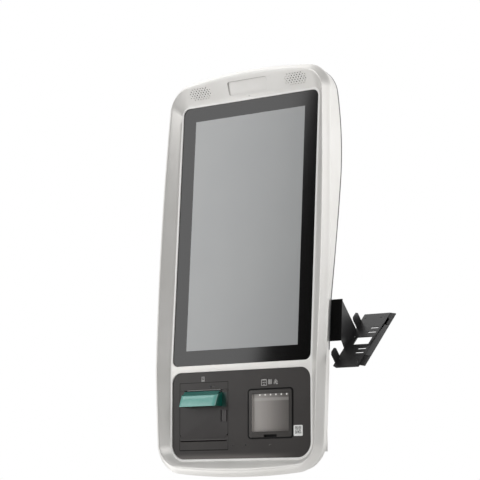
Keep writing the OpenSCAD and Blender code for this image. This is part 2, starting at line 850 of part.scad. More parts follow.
// Feed motor hung from the roof of the bay
module feed_motor() {
    x0 = gear_x + gear_w / 2 + 1;
    color("silver") placed() translate([0, pinion_y, platen_z]) union() {
        rod_x(motor_r, x0, x0 + motor_len);
        rod_x(motor_shaft_r - fit, gear_x - gear_w / 2, x0 + cut);
        span_box([x0, -2, 0], [x0 + 1.5, 2, bay_top - platen_z]);
    }
}

module print_head() {
    color("darkgray") placed() translate([-printer_x, head_y, platen_z])
        span_box([-head_half, 0, -10], [head_half, head_t, 6]);
}

module head_bracket() {
    color("silver") placed() translate([-printer_x, head_y + head_t, 0])
        span_box([-head_half, 0, platen_z - 12], [head_half, 1.5, bay_top]);
}

module cutter_unit() {
    color("gray") placed() translate([-printer_x, 0, 0])
        span_box([-head_half, panel_y + 11, slot_top], [head_half, head_y + head_t, bay_top]);
}

// Saw-edged steel strip under the fixed strip
module tear_bar() {
    teeth = 40;
    pitch = (paper_w + 2) / teeth;
    x0 = -printer_x - paper_w / 2 - 1;
    back = panel_y + 4;
    tip = panel_y - 1.4;
    saw = [for (i = [0 : teeth - 1]) each [[x0 + (i + 0.5) * pitch, tip], [x0 + (i + 1) * pitch, panel_y]]];
    color("silver") placed() translate([0, 0, slot_top - 0.8]) linear_extrude(0.8)
        polygon(concat([[x0, back], [x0, panel_y]], saw, [[x0 + teeth * pitch, back]]));
}

module feed_button() {
    color("lightgray") placed() translate([button_x, 0, button_z]) union() {
        rod_y(button_r, panel_y - 0.8, button_back);
        rod_y(button_r + 1, button_flange, button_back);
    }
}

module printer_led() {
    color("lime") placed() translate([led_x, 0, button_z]) rod_y(led_r, panel_y - 0.2, board_front);
}

// Board behind the strip, with the switch that the feed button presses
module button_board() {
    switch_y = button_back + button_travel + gap;
    color("darkgreen") placed() union() {
        span_box([button_x - 9, board_front, slot_top + 0.5], [led_x + 7, board_front + 1.6, bay_top]);
        translate([button_x, 0, button_z]) span_box([-2, switch_y, -2], [2, board_front + seat, 2]);
    }
}

scanner_corner = 6;

// Dark face: a plate sunk in the panel with a rim behind it, a window rebate and a notch below
module scanner_face() {
    w = scanner_half;
    z0 = -scanner_bottom + seat;
    z1 = -scanner_top - seat;
    win = w - scanner_side;
    ledge = 2;
    rim = 3;
    front = panel_y - scanner_proud;
    color("dimgray") placed() translate([scanner_x, 0, 0]) difference() {
        union() {
            round_plate(-w, w, z0, z1, scanner_corner, front, scanner_seat);
            round_plate(-w - rim, w + rim, z0 - rim, z1 + rim, scanner_corner,
                panel_y + panel_t, scanner_seat);
        }
        round_plate(-win, win, z0 + scanner_foot, z1 - scanner_head, 1.5, front - cut, scanner_seat + cut);
        span_box([-15, front - cut, z0 + 1.8], [15, panel_y + 2, z0 + 6.8]);
        span_box([-win - ledge, scanner_seat - window_t, z0 + scanner_foot - ledge],
            [win + ledge, scanner_seat + cut, z1 - scanner_head + ledge]);
    }
}

module scanner_window() {
    w = scanner_half - scanner_side + 1.8;
    color("lightslategray") placed() translate([scanner_x, 0, 0])
        span_box([-w, scanner_seat - window_t, -scanner_bottom + seat + scanner_foot - 1.8],
            [w, scanner_seat, -scanner_top - seat - scanner_head + 1.8]);
}

housing_in = 4;
housing_wall = 3;

module scanner_housing() {
    w = scanner_half - housing_in;
    z0 = -scanner_bottom + housing_in;
    z1 = -scanner_top - housing_in;
    back = panel_y + scanner_depth;
    color("gray") placed() translate([scanner_x, 0, 0]) difference() {
        span_box([-w, scanner_seat, z0], [w, back, z1]);
        span_box([housing_wall - w, scanner_seat - cut, z0 + 2 * housing_wall],
            [w - housing_wall, back - 2, z1 - housing_wall]);
    }
}

// Six lamps on a bar under the roof of the scanner housing
module scanner_leds() {
    lamps = 6;
    pitch = 12.9;
    bar = [80, 8, 2];
    lamp_r = 1.4;
    roof = -scanner_top - housing_in - housing_wall;
    color("ivory") placed() translate([scanner_x, scanner_seat + 3, roof]) union() {
        translate([-bar[0] / 2, 0, -bar[2]]) cube(bar);
        for (i = [0 : lamps - 1]) translate([(i - (lamps - 1) / 2) * pitch, 0, -bar[2] - 1])
            rod_y(lamp_r, -1.6, 4);
    }
}

// Camera board on the housing's back wall, with its lens block
module scanner_engine() {
    mid_z = -(scanner_top + scanner_bottom) / 2 - 1;
    block_y = -1.6;
    color("black") placed() translate([scanner_x, panel_y + scanner_depth - 2, mid_z]) union() {
        span_box([-26, block_y, -20], [26, 0, 20]);
        span_box([-12, -12, -9], [12, block_y, 9]);
        rod_y(5, -16, -12);
    }
}

flange_w = 12;
flange_drops = [40, 190];
flange_rises = [171, -19, -119];
flange_zs = concat([for (d = flange_drops) box_top - d], [for (r = flange_rises) r - panel_top]);
flange_places = [for (s = [-1, 1]) for (z = flange_zs) [s * (box_half + flange_w / 2), z]];
arm_in = [12, 15, 18];
cradle_xs = [box_half + flange_w + arm_in[0], half_w - arm_in[1]];
cradle_places = [for (x = cradle_xs) for (z = [arm_top - arm_in[2], arm_low + arm_in[2]]) [x, z]];

// Lean of the cradle's arm, which lies flat across the curve of the cover
arm_lean = atan((back_y(arm_top) - back_y(arm_low)) / (arm_top - arm_low));

// Depth of the arm's front face at height z
function arm_y(z) = back_y(arm_low) + (z - arm_low) * tan(arm_lean);

// Stand on the front face of the arm at a list of [x, z] places
module on_arm(places) {
    for (p = places) translate([p[0], arm_y(p[1]), p[1]]) rotate([-arm_lean, 0, 0]) children();
}

// Heights from z0 to z1 on one grid for every piece of the back, so that neighbours share it
back_step = 14;
function back_zs(z0, z1) = concat([z0],
    [for (k = [floor(z0 / back_step) + 1 : ceil(z1 / back_step) - 1]) k * back_step], [z1]);

// Profile between two depths off the back, in [y, z]
function back_band(near, far, z0, z1) = let (zs = back_zs(z0, z1)) concat(
    [for (z = zs) [back_y(z) + far, z]], [for (z = reversed(zs)) [back_y(z) + near, z]]);

// One half of the curved back, with the window for the rear housing and its screw holes
module back_cover(z0, z1) {
    placed() difference() {
        intersection() {
            prism_x(back_band(-cover_t, 0, z0, z1), -half_w, half_w);
            prism_y(outer(back_inset), -deep, deep);
        }
        span_box([-box_half + sheet, -deep, -box_bottom + sheet], [box_half - sheet, deep, box_top - sheet]);
        at(bosses) rod_y(hole_r, -deep, deep);
        for (b = bosses) translate([b[0], back_y(b[1]), b[1]]) rod_y(counterbore_r, 0, deep);
        at(flange_places) rod_y(hole_r, -deep, deep);
        on_arm(cradle_places) rod_y(hole_r, -2 * cover_t, 2 * cover_t);
    }
}

module rear_cover_upper() {
    color("dimgray") back_cover(cover_split, frame_top);
}

module rear_cover_lower() {
    color("whitesmoke") back_cover(-frame_bottom, cover_split - gap);
}

// Sockets in the housing floor
inlet_x = box_half - 40;
port_y = 36;
inlet_half = [14, 10];
switch_x = box_half - 74;
switch_half = [11, 7];
lan_x = box_half - 102;
lan_half = [8.2, 7];
usb_near = 12;
usb_pitch = 19;
usb_x = printer_w / 2 - printer_x + usb_near;
usb_xs = [usb_x, usb_x + usb_pitch];
usb_half = [8, 4];
vesa_places = [for (x = [-1, 1]) for (z = [-1, 1]) [x * vesa_pitch / 2, z * vesa_pitch / 2 - vesa_drop]];

// Hole in the housing floor at x
module floor_cut(x, half) {
    translate([x, port_y, -box_bottom]) span_box([-half[0], -half[1], -cut], [half[0], half[1], sheet + cut]);
}

// Folded steel box on the back with a flange that follows the covers
module rear_housing() {
    vents = 14;
    vent_pitch = 14;
    vent = [5, 10, 60];
    vent_zs = [80, -330];
    zb = -box_bottom;
    in = box_half - sheet;
    mid = box_half - sheet / 2;
    out = box_half + flange_w;
    color("dimgray") placed() difference() {
        union() {
            difference() {
                span_box([-box_half, -40, zb], [box_half, box_back, box_top]);
                span_box([-in, -41, zb + sheet], [in, box_back - sheet, box_top - sheet]);
                prism_x(back_band(-2 * deep, 0, zb - 30, box_top + 30), -half_w, half_w);
            }
            intersection() {
                prism_x(back_band(lip_seat, sheet, zb - flange_w, box_top + flange_w), -half_w, half_w);
                difference() {
                    span_box([-out, -deep, zb - flange_w], [out, deep, box_top + flange_w]);
                    span_box([-mid, -deep - cut, zb + sheet / 2], [mid, deep + cut, box_top - sheet / 2]);
                }
            }
        }
        at(flange_places) rod_y(hole_r, -deep, deep);
        for (p = flange_places) translate([p[0], back_y(p[1]) + sheet, p[1]])
            rod_y(counterbore_r, 0, screw_head_h);
        at(vesa_places) rod_y(vesa_hole_r + 0.5, box_back - 5, box_back + cut);
        for (z = vent_zs, i = [0 : vents - 1])
            translate([(i - (vents - 1) / 2) * vent_pitch - vent[0] / 2, box_back - 5, z]) cube(vent);
        floor_cut(inlet_x, inlet_half);
        floor_cut(switch_x, switch_half);
        floor_cut(lan_x, lan_half);
        for (x = usb_xs) floor_cut(x, usb_half);
    }
}

module vesa_plate() {
    h = vesa_side / 2;
    color("black") placed() difference() {
        round_plate(-h, h, -vesa_drop - h, h - vesa_drop, 8, box_back, box_back + vesa_t);
        at(vesa_places) rod_y(vesa_hole_r, box_back - cut, box_back + vesa_t + cut);
    }
}

// Pan-head screw pointing forward, head seated at y = 0
module screw(len) {
    rod_y(screw_head_r, 0, screw_head_h);
    rod_y(shank_r, -len, cut);
}

module cover_screws() {
    color("silver") placed() for (b = bosses) translate([b[0], back_y(b[1]), b[1]]) screw(cover_t + 9);
}

module housing_screws() {
    color("silver") placed() for (p = flange_places)
        translate([p[0], back_y(p[1]) + sheet, p[1]]) screw(cover_t + sheet);
}

// Place on the tray, s up the slope and d off its face, in [y, z]
function tray_at(s, d) = [tray_y + s * cos(tray_slope) - d * sin(tray_slope),
    tray_z + s * sin(tray_slope) + d * cos(tray_slope)];

// Foot of the tray: x right, y up the slope, z off its face
module on_tray() {
    translate([cradle_x, tray_y, tray_z]) rotate([tray_slope, 0, 0]) translate([0, -tray_lead, 0]) children();
}

// Folded sheet: an arm on the cover, a gusset turned back, and the sloping tray
module terminal_cradle() {
    arm_x = box_half + flange_w + 1;
    lugs = [[14, 34], [121, 142.5]];
    clip = 4;
    slit_w = 1.6;
    slits = [31, 126];
    groove_w = 1;
    grooves = [[-cut, slits[0]], [62, slits[1]]];
    strip_start = 5;
    strip_end = tray_w + strip_w + cut;
    window = [[16, 67.5], [50, 90.5]];
    slot_us = [33, 51];
    slot_w = 4.4;
    slots = [40, 52, 102.4, 115.8];
    pin_r = 1.8;
    pins = [[8.2, 149.5], [43.7, 149.4], [8.6, 93], [48.7, 14], [5.3, 27]];
    low_corner = [10, 6];
    under = -2 * cradle_t;
    in = cradle_t / 2;
    gusset_zs = [arm_low + 3, arm_top - 3];
    gusset = [[arm_y(gusset_zs[1]) + in, gusset_zs[1]], tray_at(110, -in), tray_at(52, -in),
        [arm_y(gusset_zs[0]) + in, gusset_zs[0]]];
    color("black") placed() union() {
        difference() {
            translate([arm_x, back_y(arm_low), arm_low]) rotate([-arm_lean, 0, 0])
                cube([cradle_x + cradle_t - arm_x, cradle_t, (arm_top - arm_low) / cos(arm_lean)]);
            on_arm(cradle_places) rod_y(hole_r, -cradle_t, 2 * cradle_t);
        }
        prism_x(gusset, cradle_x, cradle_x + cradle_t);
        on_tray() difference() {
            union() {
                span_box([0, 0, -cradle_t], [tray_w, tray_len, 0]);
                translate([tray_w - in, 0, 0]) rotate([0, strip_drop, 0])
                    span_box([0, strip_start, -cradle_t], [strip_w + in, tray_len, 0]);
                for (s = lugs)
                    prism_x([[s[0], -in], [s[1], -in], [s[1], lug_h - clip], [s[1] - clip, lug_h],
                        [s[0] + clip, lug_h], [s[0], lug_h - clip]], 0, cradle_t);
            }
            translate([0, 0, under]) linear_extrude(-2 * under)
                polygon([[-cut, -cut], [low_corner[0], -cut], [-cut, low_corner[1]]]);
            for (s = slits) span_box([tray_w - slit_w, s, 2 * under], [strip_end, s + slit_w, cradle_t]);
            for (g = grooves)
                span_box([tray_w - slit_w, g[0], -in], [tray_w - slit_w + groove_w, g[1], cradle_t]);
            span_box([window[0][0], window[0][1], under], [window[1][0], window[1][1], cradle_t]);
            for (s = slots) span_box([slot_us[0], s, under], [slot_us[1], s + slot_w, cradle_t]);
            for (p = pins) translate([p[0], p[1], under]) cylinder(r = pin_r, h = -2 * under);
        }
    }
}

module cradle_screws() {
    color("silver") placed() on_arm(cradle_places) translate([0, cradle_t, 0]) screw(cover_t + cradle_t);
}

// Tip of the rocker to each side of level, and the height of its pin over the housing floor
rocker_tip = 7;
rocker_pin = 3.5;
rocker_pin_r = 1;

// Socket block let into the housing floor: a body, a flange under the floor and a mouth facing down
module socket_block(half, tall, flange, flange_t, mouth, mouth_top) {
    difference() {
        union() {
            span_box([seat - half[0], seat - half[1], -flange_t], [half[0] - seat, half[1] - seat, tall]);
            span_box([-half[0] - flange, -half[1] - flange, -flange_t],
                [half[0] + flange, half[1] + flange, 0]);
        }
        span_box([-mouth[0], -mouth[1], -flange_t - cut], [mouth[0], mouth[1], mouth_top]);
    }
}

// Mains socket
module power_inlet() {
    color("black") placed() translate([inlet_x, port_y, -box_bottom])
        socket_block(inlet_half, 22, 2.5, 1.5, [11.5, 7.5], 16);
}

module switch_frame() {
    color("black") placed() translate([switch_x, port_y, -box_bottom]) difference() {
        socket_block(switch_half, 16, 2, 1.5, [9.4, 5.4], 11);
        translate([0, 0, rocker_pin]) rotate([90, 0, 0]) cylinder(r = rocker_pin_r, h = 13.4, center = true);
    }
}

// Rocker that tips about a pin across the switch, drawn tipped to one side
module power_switch() {
    half = 8.4;
    profile = [[-half, -5.7], [0, -4.5], [half, -5.7], [half, -2.3], [4, 2], [-4, 2], [-half, -2.3]];
    pivot = [switch_x, port_y, rocker_pin - box_bottom];
    color("darkred") placed() translate(pivot) rotate([0, rocker_tip, 0]) union() {
        rotate([90, 0, 0]) linear_extrude(9.6, center = true) polygon(profile);
        rotate([90, 0, 0]) cylinder(r = rocker_pin_r - fit, h = 13, center = true);
    }
}

module lan_port() {
    color("silver") placed() translate([lan_x, port_y, -box_bottom])
        socket_block(lan_half, 20, 0.6, 0.5, [6, 5], 14);
}

module usb_ports() {
    color("silver") placed() for (x = usb_xs) translate([x, port_y, -box_bottom])
        socket_block(usb_half, 18, 0.6, 0.5, [6.6, 2.6], 12);
}

front_frame();
speaker_grille_left();
speaker_grille_right();
camera_blank();
speaker_left();
speaker_right();
microphone();
touch_glass();
lcd_panel();
display_chassis();
mainboard();
heat_sink();
power_supply();
lower_panel();
printer_frame();
printer_door();
door_pin();
paper_mouth();
door_latch();
latch_pin();
platen_roller();
platen_shaft();
platen_gear();
idler_gear();
idler_stud();
motor_pinion();
feed_motor();
print_head();
head_bracket();
cutter_unit();
tear_bar();
feed_button();
printer_led();
button_board();
scanner_face();
scanner_window();
scanner_housing();
scanner_leds();
scanner_engine();
code_label();
indicator_lenses();
rear_cover_upper();
rear_cover_lower();
rear_housing();
vesa_plate();
cover_screws();
housing_screws();
terminal_cradle();
cradle_screws();
power_inlet();
switch_frame();
power_switch();
lan_port();
usb_ports();
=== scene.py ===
import json
import math

import bmesh
import bpy
import numpy as np
from mathutils import Euler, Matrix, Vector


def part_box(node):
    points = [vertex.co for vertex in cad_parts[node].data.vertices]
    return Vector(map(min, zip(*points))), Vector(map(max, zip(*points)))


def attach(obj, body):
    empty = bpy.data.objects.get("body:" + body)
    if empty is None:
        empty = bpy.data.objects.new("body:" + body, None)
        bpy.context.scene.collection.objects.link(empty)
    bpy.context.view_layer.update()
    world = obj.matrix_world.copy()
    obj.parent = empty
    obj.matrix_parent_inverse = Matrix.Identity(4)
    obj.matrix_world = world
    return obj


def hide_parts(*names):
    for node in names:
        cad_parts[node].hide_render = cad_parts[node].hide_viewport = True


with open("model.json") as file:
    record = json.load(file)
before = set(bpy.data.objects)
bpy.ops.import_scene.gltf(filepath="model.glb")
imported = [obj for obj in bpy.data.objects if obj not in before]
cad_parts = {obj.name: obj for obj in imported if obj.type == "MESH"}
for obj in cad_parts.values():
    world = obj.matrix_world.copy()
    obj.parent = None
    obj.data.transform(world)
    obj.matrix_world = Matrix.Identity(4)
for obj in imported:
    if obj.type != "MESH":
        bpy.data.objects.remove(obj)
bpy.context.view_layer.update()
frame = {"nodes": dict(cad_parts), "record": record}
solids = frame["nodes"]
bodies = frame["record"]["behaviour"]["bodies"]
carrier = {node: body for body, held in bodies.items() for node in held}


# Front frame: one bowed shell, injection moulded in ABS and sprayed a satin pearl white.
# A bevel falls from its rim to a thin lip over the glass and the panel; screws from behind
# pull the covers against its wall. Sizes are millimetres from the middle of the screen.
tilt = math.radians(3.7)
glass_half, glass_top = 165.5, 267.85
panel_top, panel_low = 281.0, 453.0
half_w, frame_top, frame_low = 207.0, 329.5, 489.0
mount_y, mount_z = 66.0, -80.0
bend_z = -(glass_top + panel_top) / 2
panel_y = math.tan(tilt) * bend_z
opening_r, crest_r, outer_r = (14.0, 30.0), (38.0, 40.0), (50.0, 54.0)
side_bow, top_bow, foot_bow = 12.0, 18.0, 14.0
lip_w, lip_h, lip_seat, lip_edge = 4.0, 2.2, 0.1, 0.8
rim_h, rim_side, rim_top, rim_deep, wall = 19.8, 12.25, 9.0, 13.0, 3.0
back_inset, cover_t, shut = 4.0, 3.0, 0.5
back_low, back_lean, back_bend, back_soft = 6.0, 0.176, -178.0, 30.0
crown_start, crown_fall = 80.0, 52.9


def from_screen(points):
    """Millimetres from the middle of the screen to metres from the middle of the bolt pattern."""
    return (points - np.array([0.0, mount_y, mount_z])) / 1000


def face_y(z):
    """Depth of the glass and panel plane: leaning above the bend, upright below it."""
    return math.tan(tilt) * np.maximum(z, bend_z)


def back_y(z):
    """Depth of the back: upright below, a softly started lean above, less a square fall at the
    crown."""
    rise = z - back_bend
    ramp = (rise + np.sqrt(rise ** 2 + back_soft ** 2)) / 2
    crown = np.maximum(0.0, z - crown_start) / (frame_top - crown_start)
    return back_lean * ramp - back_low - crown_fall * crown ** 2


def rounded(half, top, low, r_top, r_low):
    """Ring of a rounded rectangle, anticlockwise from the foot of its right side: even straight
    runs, one point of each side on the bend, and quarter circles between the runs."""
    low_n, high_n, turn_n, end_n = 16, 64, 28, 48

    def run(start, stop, n):
        return np.linspace(start, stop, n, endpoint=False)

    up = np.concatenate([run(low + r_low, bend_z, low_n), run(bend_z, top - r_top, high_n)])
    down = np.concatenate([run(top - r_top, bend_z, high_n), run(bend_z, low + r_low, low_n)])
    turn, across = run(0, np.pi / 2, turn_n), run(-1, 1, end_n)
    s, c = np.sin(turn), np.cos(turn)
    a, b = half - r_top, half - r_low
    side = np.full(low_n + high_n, half)
    x = [side, a + r_top * c, -a * across, -a - r_top * s,
         -side, -b - r_low * c, b * across, b + r_low * s]
    z = [up, top - r_top + r_top * s, np.full(end_n, top), top - r_top + r_top * c,
         down, low + r_low - r_low * s, np.full(end_n, low), low + r_low - r_low * c]
    return np.column_stack([np.concatenate(x), np.concatenate(z)])


def bowed(ring, half, top, low):
    """The ring with the ends of its sides and the corners of its ends drawn in by square laws."""
    x, z = ring.T
    w = (z - (top + low) / 2) * 2 / (top - low)
    rise = np.where(w > 0, top_bow, foot_bow)
    return np.column_stack([x * (1 - side_bow * w * w / half), z - w * rise * (x / half) ** 2])


def outline(d):
    """Outer edge of the frame, drawn in by d."""
    edges = half_w - d, frame_top - d, d - frame_low
    return bowed(rounded(*edges, outer_r[0] - d, outer_r[1] - d), *edges)


def crest(d):
    """Inner edge of the rim, widened by d."""
    edges = half_w - rim_side + d, frame_top - rim_top + d, rim_side - frame_low - d
    return bowed(rounded(*edges, crest_r[0] + d, crest_r[1] + d), *edges)


def opening(d):
    """Edge of the opening for the glass and the panel, widened by d."""
    edges = glass_half + d, glass_top + d, -panel_low - d
    return rounded(*edges, opening_r[0] + d, opening_r[1] + d)


def at_front(ring, height):
    """The ring standing a height in front of the glass and panel plane."""
    return np.column_stack([ring[:, 0], face_y(ring[:, 1]) - height, ring[:, 1]])


def at_back(ring, depth):
    """The ring lying a depth in front of the machine's back."""
    return np.column_stack([ring[:, 0], back_y(ring[:, 1]) - depth, ring[:, 1]])


def grid_faces(rows, cols, round_rows=False, round_cols=False):
    """Corner numbers of a grid's quads; a direction that goes round joins its last line to its
    first."""
    r = np.arange(rows if round_rows else rows - 1)[:, None]
    c = np.arange(cols if round_cols else cols - 1)[None, :]
    r2, c2 = (r + 1) % rows, (c + 1) % cols
    quads = [r * cols + c, r * cols + c2, r2 * cols + c2, r2 * cols + c]
    return np.stack(quads, -1).reshape(-1, 4)


def piece(name, points, faces, sharp=35):
    """Object at the origin from points in millimetres and faces, turned outwards and shaded smooth
    across edges under sharp degrees."""
    mesh = bpy.data.meshes.new(name)
    mesh.from_pydata(from_screen(points).tolist(), [], [list(f) for f in faces])
    form = bmesh.new()
    form.from_mesh(mesh)
    bmesh.ops.recalc_face_normals(form, faces=form.faces)
    form.to_mesh(mesh)
    form.free()
    mesh.shade_smooth()
    mesh.set_sharp_from_angle(angle=math.radians(sharp))
    made = bpy.data.objects.new(name, mesh)
    bpy.context.collection.objects.link(made)
    return made


def lofted(name, rings, closed=False):
    """Piece through a stack of rings; a closed stack joins its last ring to its first."""
    return piece(name, rings.reshape(-1, 3), grid_faces(*rings.shape[:2], closed, True))


def frame_rings():
    """Rings of the frame's closed section: lip with a rounded edge, bevel eased into the crest,
    flank out to the side wall, that wall drawn in to the back, and the inner face a wall behind
    them. Round the foot the crest is smoothed away by averaging each ring with its neighbours."""
    ease_from, ease = 0.88, 0.06
    bulge_from, bulge = 0.6, 0.12
    first, last, passes, pull = 8, 23, 14, 0.7
    soft_from, soft_run = -425.0, 45.0
    flat_gap, crest_gap = 0.6, 0.9
    low_edge = lip_h - lip_edge
    rings = [at_front(opening(0), lip_seat), at_front(opening(0), low_edge)]
    for a in np.radians([30, 60, 90]):
        inset = lip_edge * (1 - math.cos(a))
        rings.append(at_front(opening(inset), low_edge + lip_edge * math.sin(a)))
    rings.append(at_front(opening(lip_w - flat_gap), lip_h))
    for t in np.concatenate([np.linspace(0.01, ease_from, 7), [0.92, 0.96, 1.0]]):
        late = max(0.0, t - ease_from) / (1 - ease_from)
        g = (t - ease * late ** 2) / (1 - ease)
        ring = (1 - t) * opening(lip_w) + t * crest(0)
        rings.append(at_front(ring, lip_h + (rim_h - lip_h) * g))
    for t in (0.04, 0.3, 0.6, 0.75, 0.85, 0.92, 0.97, 1.0):
        late = max(0.0, t - bulge_from) / (1 - bulge_from)
        out = t + bulge * late * (1 - t) / (1 - bulge_from)
        rings.append(at_front((1 - out) * crest(0) + out * outline(0), rim_h - rim_deep * t))
    far = at_back(outline(back_inset), cover_t + shut)
    rings += [rings[-1] + (far - rings[-1]) * t for t in (0.25, 0.5, 0.75, 1.0)]
    rings.append(at_back(outline(back_inset + wall), cover_t + shut))
    rings.append(at_front(outline(wall), rim_h - rim_deep))
    rings.append(at_front((crest(0) + outline(0)) / 2, rim_h - rim_deep / 2 - 1.5 * wall))
    rings.append(at_front(crest(0), rim_h - wall - crest_gap))
    rings.append(at_front(opening(lip_w + wall), lip_seat))
    section = np.stack(rings)
    for _ in range(passes):
        soft = np.clip((soft_from - section[first:last, :, 2:]) / soft_run, 0, 1) ** 2
        middle = (section[first - 1:last - 1] + section[first + 1:last + 1]) / 2
        section[first:last] += pull * soft * (middle - section[first:last])
    return section


def tone(r, g, b):
    """Linear colour of an sRGB tone."""
    v = np.array([r, g, b]) / 255
    linear = np.where(v > 0.04045, ((v + 0.055) / 1.055) ** 2.4, v / 12.92)
    return (*linear.tolist(), 1.0)


class Socket:
    """A shader socket in Python expressions: each operator on it adds one Math node."""

    def __init__(self, tree, link=None):
        self.tree = tree
        self.link = link

    def node(self, kind, settings, sockets, out=0):
        """New node: its settings first, then the values or links of its sockets; gives one
        output."""
        made = self.tree.nodes.new("ShaderNode" + kind)
        for name, value in settings.items():
            setattr(made, name, value)
        for name, value in sockets.items():
            if isinstance(value, Socket):
                self.tree.links.new(value.link, made.inputs[name])
            else:
                made.inputs[name].default_value = value
        return Socket(self.tree, made.outputs[out])

    def math(self, operation, first, second=0.0):
        return self.node("Math", {"operation": operation}, {0: first, 1: second})

    def __add__(self, other):
        return self.math("ADD", self, other)

    def __radd__(self, other):
        return self.math("ADD", other, self)

    def __sub__(self, other):
        return self.math("SUBTRACT", self, other)

    def __rsub__(self, other):
        return self.math("SUBTRACT", other, self)

    def __mul__(self, other):
        return self.math("MULTIPLY", self, other)

    def __rmul__(self, other):
        return self.math("MULTIPLY", other, self)

    def __abs__(self):
        return self.math("ABSOLUTE", self)

    def axes(self):
        """The place on a piece, as a vector and as its x, y and z."""
        where = self.node("TexCoord", {}, {}, out="Object")
        split = [self.node("SeparateXYZ", {}, {"Vector": where}, out=axis) for axis in "XYZ"]
        return where, *split

    def noise(self, scale, detail):
        """Noise over this place."""
        return self.node("TexNoise", {}, {"Vector": self, "Scale": scale, "Detail": detail})

    def fade(self, low, high):
        """0 below low, 1 above high, smooth between them."""
        ends = {"Value": self, "From Min": low, "From Max": high}
        return self.node("MapRange", {"interpolation_type": "SMOOTHSTEP"}, ends)

    def mix(self, first, second):
        """The first colour where this value is 0, the second where it is 1."""
        return self.node("Mix", {"data_type": "RGBA"}, {0: self, 6: first, 7: second}, out=2)

    def into(self, name):
        """Feed a socket of the material's Principled shader."""
        shader = self.tree.nodes["Principled BSDF"]
        self.tree.links.new(self.link, shader.inputs[name])

    def dent(self, strength, depth):
        """Dent the surface by this height."""
        sockets = {"Strength": strength, "Distance": depth, "Height": self}
        self.node("Bump", {}, sockets).into("Normal")


def finish(name, **fixed):
    """Material with one Principled shader; fixed values go on the shader's own sockets."""
    made = bpy.data.materials.new(name)
    made.use_nodes = True
    shader = made.node_tree.nodes["Principled BSDF"]
    for socket, value in fixed.items():
        shader.inputs[socket.replace("_", " ")].default_value = value
    return made, Socket(made.node_tree)


def grained(name, low, high, rough, grain=1500.0, depth=0.00004, stretch=(1, 1, 1), **fixed):
    """Moulded or painted finish: two near tones in broad clouds, and a fine grain that roughens
    and dents it."""
    made, start = finish(name, **fixed)
    where = start.axes()[0]
    where = start.node("Mapping", {}, {"Vector": where, "Scale": stretch})
    broad = where.noise(14.0, 4.0)
    fine = where.noise(grain, 3.0)
    broad.fade(0.3, 0.7).mix(low, high).into("Base Color")
    (rough + 0.1 * (fine - 0.5) + 0.06 * (broad - 0.5)).into("Roughness")
    fine.dent(0.6, depth)
    return made


def dress(thing, material):
    """Give a piece, or a solid's own slots, one material."""
    if thing.material_slots:
        for slot in thing.material_slots:
            slot.material = material
    else:
        thing.data.materials.append(material)


white_shell = grained("white_shell", tone(230, 228, 224), tone(235, 233, 230), 0.42, Metallic=0.47)
shell = lofted("frame_shell", frame_rings(), closed=True)

# Places on the frame's top slope: two loudspeaker fields and a shallow camera place between
# them, let into the moulding, with a microphone pinhole under the camera place.
slope_run = 46.65
slope_rise = (rim_h - lip_h) / slope_run
slope_lean = math.atan(slope_rise) - tilt
slope_z = glass_top + 26.15
speaker_x = 117.0
field_size, field_gap = np.array([26.5, 13.0, 12.0]), 0.04
bore_r, dimple_r, dimple_deep = 1.45, 1.35, 1.1
place_size = np.array([48.0, 14.5, 5.0])
groove_out, groove_in, groove_proud = 0.3, -0.8, 0.02
pinhole_z, pinhole_r = 274.35, 1.2
through, ring_turn = 9.0, 12


def on_slope(x, points):
    """Local points (across, into the machine, up the slope) to millimetres from the screen's
    middle."""
    s, c = math.sin(slope_lean), math.cos(slope_lean)
    front = face_y(slope_z) - lip_h - slope_rise * (slope_z - glass_top - lip_w)
    y, z = points[..., 1] * c - points[..., 2] * s, points[..., 1] * s + points[..., 2] * c
    return np.stack([points[..., 0] + x, y + front, z + slope_z], -1)


def plug_ring(half, high, corner, steps=ring_turn):
    """Rounded rectangle about the origin as four quarter circles."""
    turn = np.linspace(0, np.pi / 2, steps)
    angle = np.concatenate([turn + q * np.pi / 2 for q in range(4)])
    side = np.repeat([[1, 1], [-1, 1], [-1, -1], [1, -1]], steps, axis=0)
    return np.column_stack([side[:, 0] * (half - corner) + corner * np.cos(angle),
                            side[:, 1] * (high - corner) + corner * np.sin(angle)])


def plugs(name, x, centres, ring, near, far):
    """Straight plugs square to the slope: one ring about each centre, carried from near to far."""
    n, k = len(centres), len(ring)
    across = np.asarray(centres)[:, None, None, :] + ring[None, None, :, :]
    depth = np.broadcast_to(np.array([near, far])[None, :, None], (n, 2, k))
    points = np.stack([np.broadcast_to(across[..., 0], (n, 2, k)), depth,
                       np.broadcast_to(across[..., 1], (n, 2, k))], -1)
    base = (np.arange(n) * 2 * k)[:, None, None]
    sides = (base + grid_faces(2, k, False, True)[None]).reshape(-1, 4)
    caps = (base[:, 0] + np.stack([np.arange(k), np.arange(k) + k])[:, None, :]).reshape(-1, k)
    return piece(name, on_slope(x, points).reshape(-1, 3), sides.tolist() + caps.tolist())


def carve(thing, tool, operation="DIFFERENCE"):
    """Cut a piece with a tool, or keep what both share, and put the result in its mesh."""
    step = thing.modifiers.new("carve", "BOOLEAN")
    step.operation = operation
    step.solver = "EXACT"
    step.object = tool
    seen = thing.evaluated_get(bpy.context.evaluated_depsgraph_get())
    mesh = bpy.data.meshes.new_from_object(seen)
    thing.modifiers.clear()
    thing.data = mesh
    mesh.shade_smooth()
    mesh.set_sharp_from_angle(angle=math.radians(35))


